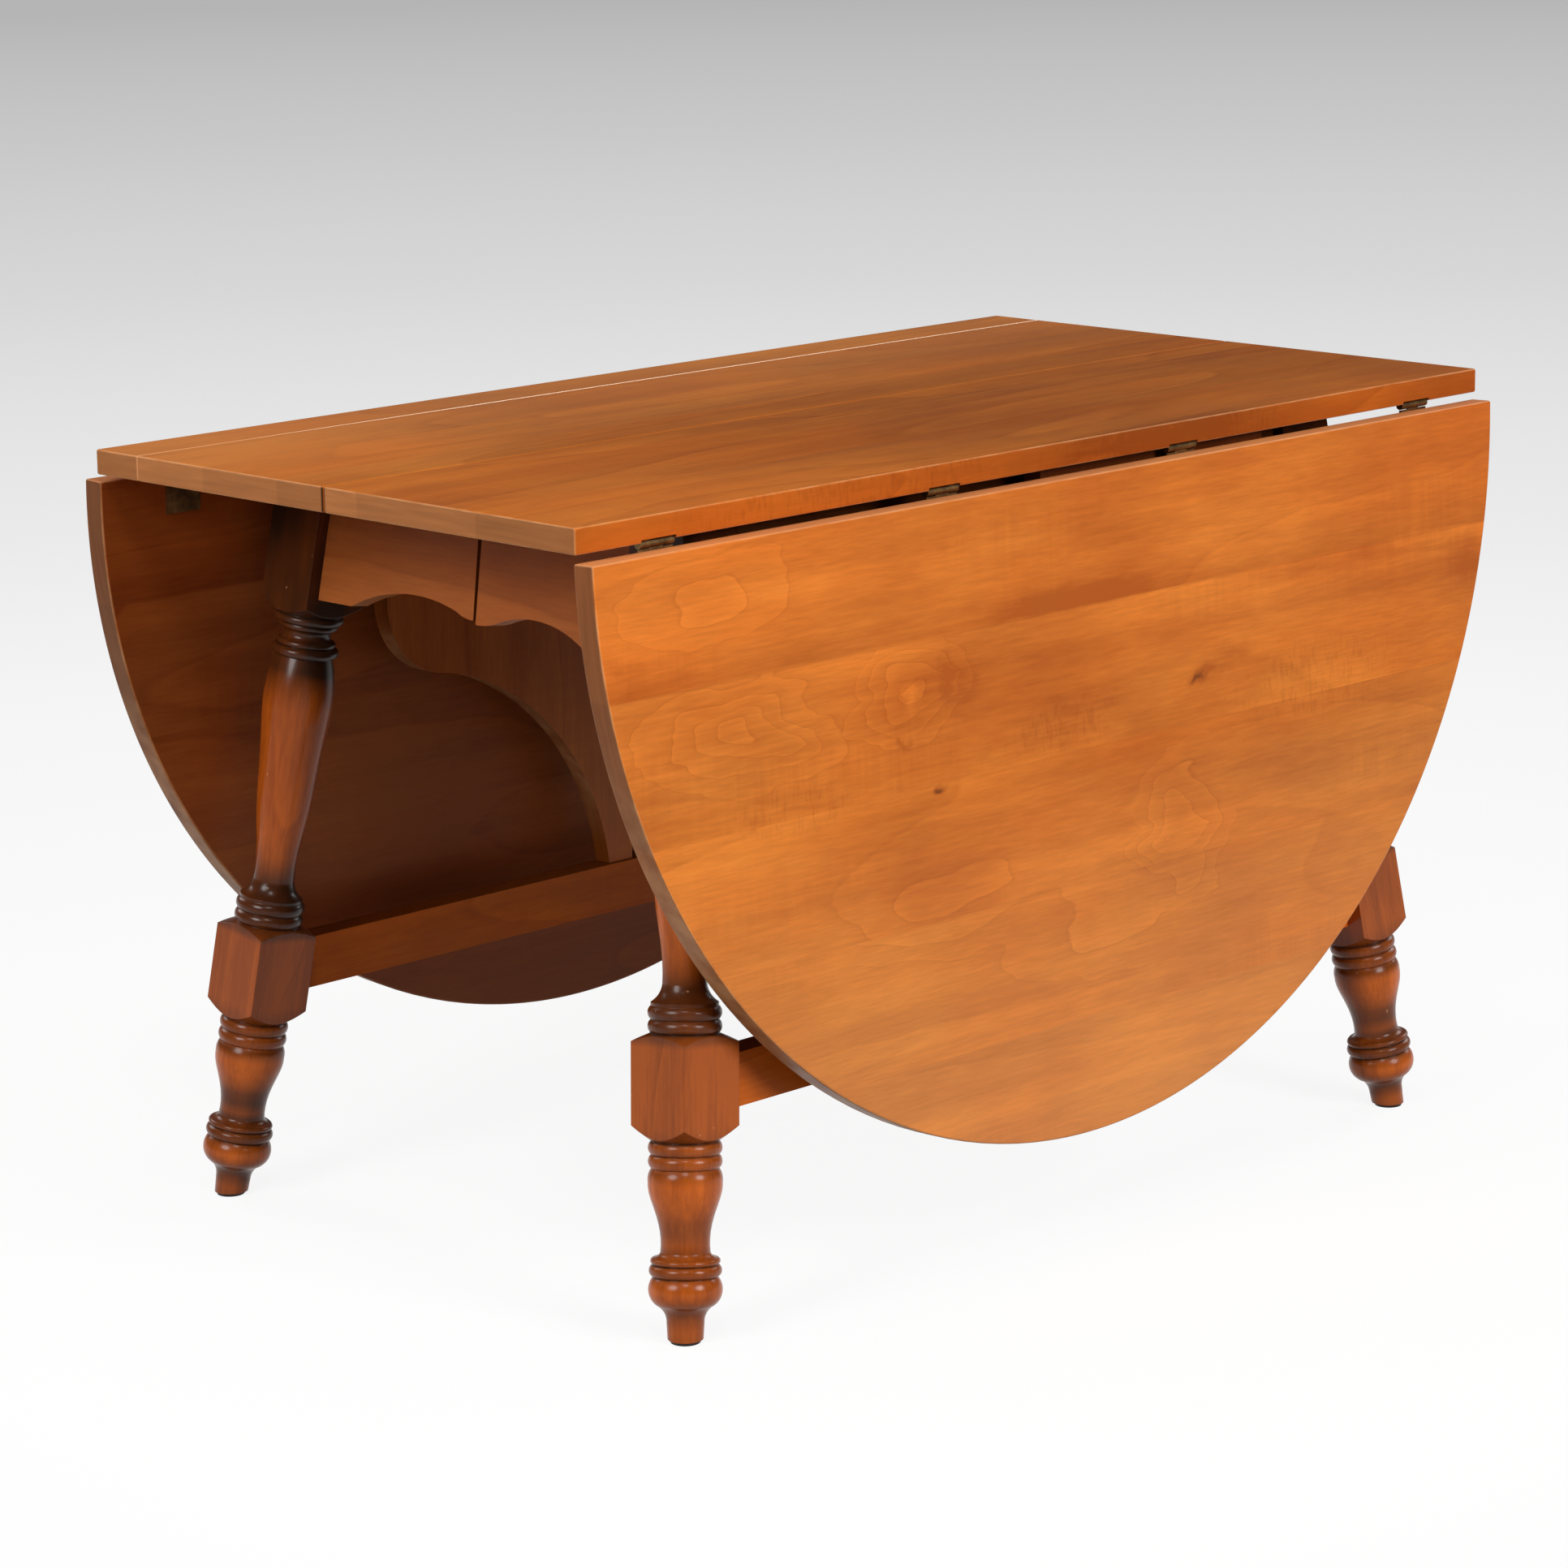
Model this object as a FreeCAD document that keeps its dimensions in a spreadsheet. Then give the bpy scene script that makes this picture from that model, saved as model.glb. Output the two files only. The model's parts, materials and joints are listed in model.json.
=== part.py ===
import FreeCAD, Part

import math
import os
import re

# Drop-leaf extension table with splayed turned legs, butterfly wings and a split top.
# The frame has +X along the top, +Y from the near leaf to the far leaf and +Z up,
# with the origin on the floor under the middle of the top. Lengths are millimetres.

# Driving dimensions. Heights along a leg are measured on the leg's own axis.
DIMENSIONS = {
    # Top and leaves
    "top_length": 1234.0,
    "top_width": 659.0,
    "top_height": 749.0,
    "top_thickness": 23.8,
    "top_round": 2.0,
    "split_gap": 0.8,
    "edge_board_width": 62.0,
    "leaf_length": 1232.0,
    "leaf_depth": 624.0,
    "leaf_gap": 0.5,
    "near_hang": 1.9,
    "far_hang": 2.9,
    # Legs: where they stand and how they lean
    "foot_inset_x": 117.0,
    "foot_inset_y": 7.5,
    "splay_x": 7.31,
    "splay_y": 6.30,
    "leg_square": 68.0,
    "glide_diameter": 27.0,
    "glide_height": 3.0,
    # Leg turning, from the floor up
    "tip_diameter": 32.0,
    "tip_height": 17.5,
    "ball_diameter": 66.6,
    "ball_height": 41.0,
    "collar_diameter": 65.4,
    "collar_height": 17.0,
    "ankle_diameter": 44.0,
    "vase_diameter": 67.0,
    "vase_height": 80.0,
    "ring_diameter": 66.5,
    "ring_height": 12.2,
    "groove_depth": 2.8,
    "lower_shoulder": 14.0,
    "block_length": 74.0,
    "upper_shoulder": 8.0,
    "fillet_height": 3.0,
    "flare_height": 16.0,
    "neck_diameter": 40.0,
    "column_diameter": 67.6,
    "capital_ring_height": 10.0,
    "capital_cove_diameter": 45.0,
    "capital_cove_height": 23.0,
    "head_length": 152.0,
    # Aprons
    "apron_thickness": 20.0,
    "apron_setback": 13.0,
    "apron_depth": 133.0,
    "apron_gap": 3.5,
    "apron_gap_spread": 2.5,
    "near_pendant_rise": 4.5,
    "near_pendant_width": 31.0,
    "near_arch_rise": 18.5,
    "near_arch_width": 116.0,
    "far_pendant_rise": 8.0,
    "far_pendant_width": 24.0,
    "far_arch_rise": 21.5,
    "far_arch_width": 148.0,
    "tenon_thickness": 8.0,
    "tenon_length": 22.0,
    "tenon_shoulder": 18.0,
    # Stretchers
    "stretcher_height": 50.0,
    "stretcher_thickness": 28.0,
    "stretcher_drop": 4.0,
    "stretcher_offset": 3.0,
    # Wings
    "wing_thickness": 20.0,
    "wing_foot": 32.0,
    "wing_reach": 303.0,
    "wing_top_gap": 3.5,
    "wing_foot_gap": 0.5,
    "wing_lobe_drop": 243.0,
    "wing_lobe_height": 84.0,
    "wing_lobe_width": 75.0,
    "wing_pin_diameter": 10.0,
    "wing_pin_grip": 26.0,
    "wing_pin_reach": 14.0,
    # Hinges
    "hinge_end_inset": 97.0,
    "hinge_inner_x": 165.0,
    "hinge_width": 40.0,
    "hinge_inset": 5.5,
    "hinge_drop": 1.5,
    "flap_thickness": 2.0,
    "top_flap_length": 34.0,
    "leaf_flap_length": 46.0,
    "knuckle_diameter": 8.0,
    "knuckle_middle": 16.0,
    "hinge_pin_diameter": 4.0,
    "flap_screw_diameter": 3.5,
    "flap_screw_head": 7.0,
    "flap_screw_length": 16.0,
    # Extension slides
    "slide_spread": 230.0,
    "slide_width": 26.0,
    "slide_height": 40.0,
    "slide_length": 472.0,
    "slide_gap": 1.0,
    "tongue_depth": 9.0,
    "tongue_height": 14.0,
    "slide_screw_diameter": 4.5,
    "slide_screw_head": 9.0,
    "slide_screw_grip": 14.0,
    # Corner blocks and dowels
    "corner_block_width": 96.0,
    "corner_block_height": 45.0,
    "dowel_diameter": 10.0,
    "dowel_length": 42.0,
    "dowel_reach": 18.0,
    "dowel_inner_x": 150.0,
    "dowel_end_inset": 167.0,
    # Fits
    "slide_clearance": 0.4,
    "pin_clearance": 0.05,
    "notch_clearance": 0.6,
    "hole_spare": 1.5,
}

X, Y, Z = FreeCAD.Vector(1, 0, 0), FreeCAD.Vector(0, 1, 0), FreeCAD.Vector(0, 0, 1)
HALF_TURN = FreeCAD.Placement(FreeCAD.Vector(), FreeCAD.Rotation(Z, 180))
AS_BUILT = FreeCAD.Placement()

doc = FreeCAD.newDocument("drop_leaf_table")
sheet = doc.addObject("Spreadsheet::Sheet", "Dims")
for row, (alias, value) in enumerate(DIMENSIONS.items(), start=1):
    sheet.set(f"A{row}", alias)
    sheet.set(f"B{row}", str(value))
    sheet.setAlias(f"B{row}", alias)
doc.recompute()

NODES = {}


def dim(alias):
    """Read one driving dimension from the sheet."""
    return float(sheet.get(alias))


def cell(word):
    """The sheet cell of a word that is an alias, or else the word itself."""
    return f"Dims.{word[0]}" if word[0] in DIMENSIONS else word[0]


def bind(feature, **formulas):
    """Bind properties of a feature to formulas of sheet aliases."""
    for name, formula in formulas.items():
        feature.setExpression(name.replace("__", "."), re.sub(r"[a-z]\w*", cell, formula))


def box(name, size, corner):
    """A box of three size formulas with its low corner at three formulas."""
    feature = doc.addObject("Part::Box", name)
    bind(feature, Length=size[0], Width=size[1], Height=size[2])
    bind(feature, Placement__Base__x=corner[0], Placement__Base__y=corner[1], Placement__Base__z=corner[2])
    return feature


def rod(name, diameter, length, start, axis=Z):
    """A cylinder that starts at three formulas and runs along an axis."""
    feature = doc.addObject("Part::Cylinder", name)
    feature.Placement = FreeCAD.Placement(FreeCAD.Vector(), FreeCAD.Rotation(Z, axis))
    bind(feature, Radius=f"({diameter}) / 2", Height=length)
    bind(feature, Placement__Base__x=start[0], Placement__Base__y=start[1], Placement__Base__z=start[2])
    return feature


def screw(name, diameter, head, length):
    """A countersunk screw whose head lies at the origin and whose shank points up."""
    cone = doc.addObject("Part::Cone", f"{name}_head")
    bind(cone, Radius1=f"{head} / 2", Radius2=f"{diameter} / 2", Height=f"({head} - {diameter}) / 2")
    shank = rod(f"{name}_shank", diameter, length, ("0", "0", "0"))
    return fuse(name, cone, shank)


def cut(name, base, *tools):
    """The base with each tool taken away."""
    result = base
    for count, tool in enumerate(tools):
        step = doc.addObject("Part::Cut", name if count == len(tools) - 1 else f"{name}_step")
        step.Base, step.Tool = result, tool
        result = step
    return result


def fuse(name, *features):
    """One solid from several that touch or overlap."""
    joined = doc.addObject("Part::MultiFuse", name)
    joined.Shapes = list(features)
    joined.Refine = True
    return joined


def common(name, base, tool):
    """What two features share."""
    shared = doc.addObject("Part::Common", name)
    shared.Base, shared.Tool = base, tool
    return shared


def group(name, features):
    """Several separate solids kept together."""
    together = doc.addObject("Part::Compound", name)
    together.Links = list(features)
    return together


def copy_at(feature, x=0.0, y=0.0, z=0.0):
    """A copy of a feature moved to a place."""
    copied = group(f"{feature.Name}_copy", [feature])
    copied.Placement = FreeCAD.Placement(FreeCAD.Vector(x, y, z), FreeCAD.Rotation())
    return copied


def mirrored(name, feature):
    """The feature mirrored from the left end to the right end."""
    image = doc.addObject("Part::Mirroring", name)
    image.Source = feature
    image.Normal = X
    return image


def rounded(name, feature):
    """The feature with all its arrises eased by the same small radius."""
    doc.recompute()
    eased = doc.addObject("Part::Fillet", name)
    eased.Base = feature
    radius = dim("top_round")
    eased.Edges = [(index, radius, radius) for index in range(1, len(feature.Shape.Edges) + 1)]
    return eased


def outline(name, edges):
    """A flat face inside a closed chain of edges."""
    face = doc.addObject("Part::Feature", name)
    face.Shape = Part.Face(Part.Wire(edges))
    return face


def extruded(name, face, direction, formula):
    """A face pushed out along a direction by a formula."""
    solid = doc.addObject("Part::Extrusion", name)
    solid.Base = face
    solid.DirMode = "Custom"
    solid.Dir = direction
    solid.Solid = True
    bind(solid, LengthFwd=formula)
    return solid


def node(label, feature, placement):
    """A finished sub-part of the table under its own label and at its place."""
    part = group(f"{label}_node", [feature])
    part.Label = label
    part.Placement = placement
    NODES[label] = part


def line(start, end):
    """A straight edge."""
    return Part.LineSegment(start, end).toShape()


def arc(start, middle, end):
    """A round edge through three points."""
    return Part.Arc(start, middle, end).toShape()


def curve(points):
    """A smooth edge through a few points."""
    spline = Part.BSplineCurve()
    spline.interpolate(points)
    return spline.toShape()


# Heights and slopes that several sub-parts share
UNDERSIDE = "top_height - top_thickness"
HINGE_Y = "-top_width / 2 + hinge_inset"
HINGE_Z = "top_height - top_thickness - hinge_drop"
underside = dim("top_height") - dim("top_thickness")
foot_x = dim("top_length") / 2 - dim("foot_inset_x")
foot_y = dim("top_width") / 2 - dim("foot_inset_y")
slope_x = math.tan(math.radians(dim("splay_x")))
slope_y = math.tan(math.radians(dim("splay_y")))
lean = 1 / math.sqrt(1 + slope_x**2 + slope_y**2)


def axis_x(height):
    """Distance of a leg's axis from the middle of the table along X at a height."""
    return foot_x - slope_x * height


def axis_y(height):
    """Distance of a leg's axis from the middle of the table along Y at a height."""
    return foot_y - slope_y * height


class Turning:
    """A lathe profile drawn from the foot up, as radius and height on the leg's axis."""

    def __init__(self, radius):
        self.edges = [line(FreeCAD.Vector(), FreeCAD.Vector(radius, 0, 0))]
        self.radius, self.height = radius, 0.0

    def point(self, radius, rise):
        return FreeCAD.Vector(radius, 0, self.height + rise)

    def reach(self, edge, radius, rise):
        self.edges.append(edge)
        self.radius, self.height = radius, self.height + rise

    def straight(self, radius, rise):
        edge = line(self.point(self.radius, 0), self.point(radius, rise))
        self.reach(edge, radius, rise)

    def round(self, middle, middle_rise, radius, rise):
        edge = arc(self.point(self.radius, 0), self.point(middle, middle_rise), self.point(radius, rise))
        self.reach(edge, radius, rise)

    def smooth(self, stations):
        points = [self.point(self.radius, 0)] + [self.point(*station) for station in stations]
        self.reach(curve(points), *stations[-1])

    def bead(self, radius, rise):
        self.round(radius, rise / 2, self.radius, rise)

    def solid(self):
        top = self.point(0, 0)
        self.edges.append(line(self.point(self.radius, 0), top))
        self.edges.append(line(top, FreeCAD.Vector()))
        return Part.Face(Part.Wire(self.edges)).revolve(FreeCAD.Vector(), Z, 360)


def leg_turning():
    """The round shape of a leg and the height of the middle of its stretcher block."""
    ring, sink = dim("ring_diameter") / 2, dim("groove_depth")
    groove = ring - sink
    corner = dim("leg_square") * 0.72
    tip, ball, ankle = dim("tip_diameter") / 2, dim("ball_diameter") / 2, dim("ankle_diameter") / 2
    collar, vase = dim("collar_diameter") / 2, dim("vase_diameter") / 2
    neck, column = dim("neck_diameter") / 2, dim("column_diameter") / 2
    ball_rise, vase_rise, flare = dim("ball_height"), dim("vase_height"), dim("flare_height")
    turning = Turning(tip)

    # Foot: tip, ball, two collar rings and vase
    peg, waist = tip * 1.06, tip * 0.4 + ball * 0.6
    turning.straight(peg, dim("tip_height"))
    turning.round(peg + (waist - peg) * 0.28, ball_rise * 0.23, waist, ball_rise * 0.38)
    turning.round(ball, ball_rise * 0.36, collar - 1.3 * sink, ball_rise * 0.62)
    turning.bead(collar, dim("collar_height") * 0.66)
    turning.bead(collar - sink / 2, dim("collar_height") * 0.34)
    turning.round(ankle + (collar - ankle) * 0.2, vase_rise * 0.025, ankle * 1.02, vase_rise * 0.06)
    swell = vase - ankle
    turning.smooth(
        [
            (ankle, vase_rise * 0.12),
            (ankle + swell * 0.17, vase_rise * 0.31),
            (ankle + swell * 0.54, vase_rise * 0.49),
            (ankle + swell * 0.93, vase_rise * 0.67),
            (vase, vase_rise * 0.79),
        ]
    )
    turning.round(vase - 0.06 * swell, vase_rise * 0.09, groove, vase_rise * 0.15)
    for _ in range(2):
        turning.bead(ring, dim("ring_height"))

    # Square stretcher block between two cut-back shoulders
    turning.straight(corner, dim("lower_shoulder"))
    block_middle = turning.height + dim("block_length") / 2
    turning.straight(corner, dim("block_length"))
    turning.straight(groove, dim("upper_shoulder"))

    # Rings, flare and the swelling column
    for _ in range(2):
        turning.bead(ring, dim("ring_height"))
    turning.straight(groove, dim("fillet_height"))
    turning.round(neck + (groove - neck) * 0.3, flare * 0.45, neck, flare)
    leg_length = underside / lean
    capital_ring = dim("capital_ring_height")
    capital = 1.8 * capital_ring + dim("capital_cove_height")
    column_rise = leg_length - dim("head_length") - capital - turning.height
    swell = column - neck
    turning.smooth(
        [
            (neck, column_rise * 0.09),
            (neck + swell * 0.435, column_rise * 0.313),
            (neck + swell * 0.667, column_rise * 0.521),
            (neck + swell * 0.87, column_rise * 0.673),
            (column, column_rise * 0.829),
            (column - swell * 0.2, column_rise * 0.931),
            (column - swell * 0.47, column_rise),
        ]
    )

    # Capital: a bead, a cove between two small beads and a bead under the square head
    step = dim("capital_cove_height") / 4
    turning.bead(ring - sink / 4, capital_ring)
    turning.bead(turning.radius + sink / 2, step)
    turning.round(dim("capital_cove_diameter") / 2, step, turning.radius, 2 * step)
    turning.bead(turning.radius + sink / 2, step)
    turning.round(ring, capital_ring * 0.42, groove, capital_ring * 0.8)
    turning.straight(corner, dim("lower_shoulder") * 0.85)
    turning.straight(corner, leg_length * 1.1 - turning.height)
    return turning.solid(), block_middle * lean


turned_shape, block_height = leg_turning()
stretcher_middle = block_height - dim("stretcher_drop")
stretcher_top = stretcher_middle + dim("stretcher_height") / 2
stretcher_y = axis_y(stretcher_middle) + dim("stretcher_offset")
apron_foot = underside - dim("apron_depth")
apron_face = dim("leg_square") / 2 - dim("apron_setback")
tilt_x = FreeCAD.Rotation(Y, dim("splay_x"))
tilt_y = FreeCAD.Rotation(X, -dim("splay_y"))
END_PLANE = FreeCAD.Placement(FreeCAD.Vector(-foot_x, 0, 0), tilt_x)
SIDE_PLANE = FreeCAD.Placement(FreeCAD.Vector(0, -foot_y, 0), tilt_y)
rise_x = 1 / math.cos(math.radians(dim("splay_x")))
rise_y = 1 / math.cos(math.radians(dim("splay_y")))

# Everything between the glides and the underside of the top
standing_room = box(
    "standing_room",
    ("2 * top_length", "2 * top_width", f"{UNDERSIDE} - glide_height"),
    ("-top_length", "-top_width", "glide_height"),
)


def left_leg():
    """The near left leg without mortises: a square blank turned on a lathe and set at its splay."""
    turned = doc.addObject("Part::Feature", "leg_turned")
    turned.Shape = turned_shape
    square = ("leg_square", "leg_square", "top_height * 1.2")
    blank = box("leg_blank", square, ("-leg_square / 2", "-leg_square / 2", "0"))
    shaped = common("leg_shaped", turned, blank)
    up = FreeCAD.Vector(slope_x, slope_y, 1)
    across = FreeCAD.Vector(1, 0, -slope_x)
    foot = FreeCAD.Vector(-foot_x, -foot_y, 0)
    shaped.Placement = FreeCAD.Placement(foot, FreeCAD.Rotation(across, up.cross(across), up, "ZXY"))
    return common("leg_left_plain", shaped, standing_room)


def tenon(name, size, corner, placement):
    """A flat tongue that locks a rail into a leg."""
    tongue = doc.addObject("Part::Box", name)
    tongue.Length, tongue.Width, tongue.Height = size
    tongue.Placement = placement.multiply(FreeCAD.Placement(FreeCAD.Vector(*corner), FreeCAD.Rotation()))
    return tongue


def end_apron_blank(half):
    """A left end apron before it is fitted to the leg, with the scalloped lower edge of its half."""
    split = -dim("apron_gap") / 2
    pendant = split - dim(f"{half}_pendant_width")
    cusp = pendant - dim(f"{half}_arch_width")
    inside_leg = -axis_y(apron_foot)
    foot, head = apron_foot * rise_x, underside * rise_x
    low, crown = foot + dim(f"{half}_pendant_rise"), foot + dim(f"{half}_arch_rise")
    joint = low + (crown - low) * 0.4
    head_split = split - dim("apron_gap_spread") / 2

    def spot(y, z):
        return FreeCAD.Vector(-apron_face, y, z)

    pendant_middle = spot((split + pendant) / 2, low + (joint - low) * 0.2)
    arch_middle = spot(pendant + (cusp - pendant) * 0.42, crown)
    face = outline(
        f"{half}_end_apron_outline",
        [
            line(spot(head_split, head * 1.02), spot(split, low)),
            arc(spot(split, low), pendant_middle, spot(pendant, joint)),
            arc(spot(pendant, joint), arch_middle, spot(cusp, foot)),
            line(spot(cusp, foot), spot(inside_leg, foot)),
            line(spot(inside_leg, foot), spot(inside_leg, head * 1.02)),
            line(spot(inside_leg, head * 1.02), spot(head_split, head * 1.02)),
        ],
    )
    board = extruded(f"{half}_end_apron_board", face, X, "apron_thickness")
    board.Placement = END_PLANE
    return common(f"{half}_end_apron_blank", board, standing_room)


def side_apron_blank():
    """The side apron before it is fitted between the legs."""
    reach = axis_x(apron_foot)
    board = doc.addObject("Part::Box", "side_apron_board")
    board.Length = 2 * reach
    board.Height = (underside * 1.02 - apron_foot) * rise_y
    bind(board, Width="apron_thickness")
    corner = FreeCAD.Placement(FreeCAD.Vector(-reach, -apron_face, apron_foot * rise_y), FreeCAD.Rotation())
    board.Placement = SIDE_PLANE.multiply(corner)
    return common("side_apron_blank", board, standing_room)


def stretcher_blank():
    """The stretcher before it is fitted between the leg blocks."""
    reach = axis_x(stretcher_middle)
    board = doc.addObject("Part::Box", "stretcher_board")
    board.Length = 2 * reach
    bind(board, Width="stretcher_thickness", Height="stretcher_height")
    low = stretcher_middle - dim("stretcher_height") / 2
    board.Placement.Base = FreeCAD.Vector(-reach, -stretcher_y - dim("stretcher_thickness") / 2, low)
    return board


leg_left_plain = left_leg()
leg_right_plain = mirrored("leg_right_plain", leg_left_plain)

# Tenons of the two aprons and the stretcher into the left leg
tongue, bite, shoulder = dim("tenon_thickness"), dim("tenon_length"), dim("tenon_shoulder")
half_square = dim("leg_square") / 2
apron_tongue = dim("apron_depth") - 2 * shoulder
apron_middle = underside - dim("apron_depth") / 2
tongue_inset = apron_face - (dim("apron_thickness") - tongue) / 2
end_tenon = tenon(
    "end_tenon",
    (tongue, 2 * bite, apron_tongue),
    (-tongue_inset, -axis_y(apron_middle) + half_square - bite, (apron_foot + shoulder) * rise_x),
    END_PLANE,
)
side_tenon = tenon(
    "side_tenon",
    (2 * bite, tongue, apron_tongue),
    (-axis_x(apron_middle) + half_square - bite, -tongue_inset, (apron_foot + shoulder) * rise_y),
    SIDE_PLANE,
)
stretcher_tenon = tenon(
    "stretcher_tenon",
    (2 * bite, tongue * 1.5, dim("stretcher_height") - shoulder),
    (
        -axis_x(stretcher_middle) + half_square - bite,
        -stretcher_y - tongue * 0.75,
        stretcher_middle - (dim("stretcher_height") - shoulder) / 2,
    ),
    AS_BUILT,
)
left_tenons = group("left_tenons", [end_tenon, side_tenon, stretcher_tenon])
leg_left = cut("leg_left", leg_left_plain, left_tenons)
leg_right = mirrored("leg_right", leg_left)

# Rails between the legs
end_aprons = {}
for half in ("near", "far"):
    fitted_apron = cut(f"{half}_end_apron_fitted", end_apron_blank(half), leg_left_plain)
    end_aprons[half] = fuse(f"{half}_end_apron_left", fitted_apron, end_tenon)
side_apron = fuse(
    "side_apron",
    cut("side_apron_fitted", side_apron_blank(), leg_left_plain, leg_right_plain),
    side_tenon,
    mirrored("side_tenon_right", side_tenon),
)
lower_pin_hole = rod(
    "lower_pin_hole",
    "wing_pin_diameter + 2 * pin_clearance",
    "wing_pin_grip + hole_spare",
    ("0", f"{-stretcher_y}", f"{stretcher_top} - wing_pin_grip - hole_spare"),
)
stretcher = cut(
    "stretcher",
    fuse(
        "stretcher_fitted",
        cut("stretcher_trimmed", stretcher_blank(), leg_left_plain, leg_right_plain),
        stretcher_tenon,
        mirrored("stretcher_tenon_right", stretcher_tenon),
    ),
    lower_pin_hole,
)
glides = group(
    "glides",
    [
        rod(f"glide_{side}", "glide_diameter", "glide_height", (spread, "-(top_width / 2 - foot_inset_y)", "0"))
        for side, spread in (
            ("left", "-(top_length / 2 - foot_inset_x)"),
            ("right", "top_length / 2 - foot_inset_x"),
        )
    ],
)


def corner_block():
    """The left glue block behind the leg, with a screw up into the top."""
    height = underside - dim("corner_block_height")
    middle = underside - dim("corner_block_height") / 2
    inset = apron_face - dim("apron_thickness") / 2
    corner_x, corner_y = -axis_x(middle) - inset, -axis_y(middle) - inset
    width = dim("corner_block_width") + dim("apron_thickness")
    corner = FreeCAD.Vector(corner_x, corner_y, height)
    along_x, along_y = corner + X * width, corner + Y * width
    face = outline("corner_outline", [line(corner, along_x), line(along_x, along_y), line(along_y, corner)])
    prism = extruded("corner_prism", face, Z, "corner_block_height")
    fitted = cut("corner_fitted", prism, leg_left_plain, end_aprons["near"], side_apron)
    wood = half_square + dim("slide_screw_head")
    reach = "corner_block_height + slide_screw_grip"
    fixing = screw("block_screw", "slide_screw_diameter", "slide_screw_head", reach)
    placed = copy_at(fixing, wood - axis_x(underside), wood - axis_y(underside), height)
    return cut("corner_block", fitted, placed), placed


block_left, block_screw_left = corner_block()
corner_blocks = group("corner_blocks", [block_left, mirrored("block_right", block_left)])
block_screws = group("block_screws", [block_screw_left, mirrored("block_screw_right", block_screw_left)])


def wing_board():
    """The butterfly wing, folded along the stretcher towards +X."""
    heel = dim("wing_foot") / 2
    foot = stretcher_top + dim("wing_foot_gap")
    lobe = underside - dim("wing_lobe_drop")
    head = underside - dim("wing_top_gap")
    reach, lobe_x = dim("wing_reach"), dim("wing_reach") - dim("wing_lobe_width")
    face_y = -stretcher_y - dim("wing_thickness") / 2

    def spot(x, z):
        return FreeCAD.Vector(x, face_y, z)

    arch_middle = spot(heel + (lobe_x - heel) * 0.30, foot + (lobe - foot) * 0.615)
    lobe_middle = spot(lobe_x + dim("wing_lobe_width") * 0.66, lobe + dim("wing_lobe_height") * 0.25)
    lobe_end = spot(reach, lobe + dim("wing_lobe_height"))
    face = outline(
        "wing_outline",
        [
            line(spot(-heel, foot), spot(heel, foot)),
            arc(spot(heel, foot), arch_middle, spot(lobe_x, lobe)),
            arc(spot(lobe_x, lobe), lobe_middle, lobe_end),
            line(lobe_end, spot(reach, head)),
            line(spot(reach, head), spot(-heel, head)),
            line(spot(-heel, head), spot(-heel, foot)),
        ],
    )
    return extruded("wing_board", face, Y, "wing_thickness")


WING_Y = f"{-stretcher_y}"
lower_pin = rod(
    "lower_pin", "wing_pin_diameter", "2 * wing_pin_grip", ("0", WING_Y, f"{stretcher_top} - wing_pin_grip")
)
upper_pin = rod(
    "upper_pin",
    "wing_pin_diameter",
    "wing_pin_grip + wing_top_gap + wing_pin_reach",
    ("0", WING_Y, f"{UNDERSIDE} - wing_top_gap - wing_pin_grip"),
)
upper_pin_hole = rod(
    "upper_pin_hole",
    "wing_pin_diameter + 2 * pin_clearance",
    "wing_pin_reach + hole_spare",
    ("0", WING_Y, UNDERSIDE),
)
wing_pins = group("wing_pins", [lower_pin, upper_pin])
wing = cut("wing", wing_board(), wing_pins)

# One hinge at X = 0 with the leaf raised: outer knuckles on the top flap, middle knuckle on the leaf flap
hinge_outer_x = dim("top_length") / 2 - dim("hinge_end_inset")
hinge_places = [hinge_outer_x, dim("hinge_inner_x"), -dim("hinge_inner_x"), -hinge_outer_x]
FLAP_Z = f"{UNDERSIDE} - flap_thickness"
SIDE_KNUCKLE = "(hinge_width - knuckle_middle) / 2 - slide_clearance"
KNUCKLE_ROOM = "knuckle_diameter / 2 + notch_clearance"
hinge_bore = rod(
    "hinge_bore",
    "hinge_pin_diameter + 2 * pin_clearance",
    "2 * hinge_width",
    ("-hinge_width", HINGE_Y, HINGE_Z),
    X,
)
hinge_pin = rod("hinge_pin", "hinge_pin_diameter", "hinge_width", ("-hinge_width / 2", HINGE_Y, HINGE_Z), X)
flap_screw = screw("flap_screw", "flap_screw_diameter", "flap_screw_head", "flap_screw_length")


def flap_screws(name, length_alias, side):
    """Three screws of one flap: two by the knuckle and one at the tail."""
    flap, hinge_y = dim(length_alias), dim("hinge_inset") - dim("top_width") / 2
    spread = dim("hinge_width") / 3.4
    base = underside - dim("flap_thickness")
    spots = [(-spread, flap * 0.42), (spread, flap * 0.42), (0, flap * 0.78)]
    return group(name, [copy_at(flap_screw, x, hinge_y + side * y, base) for x, y in spots])


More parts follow.
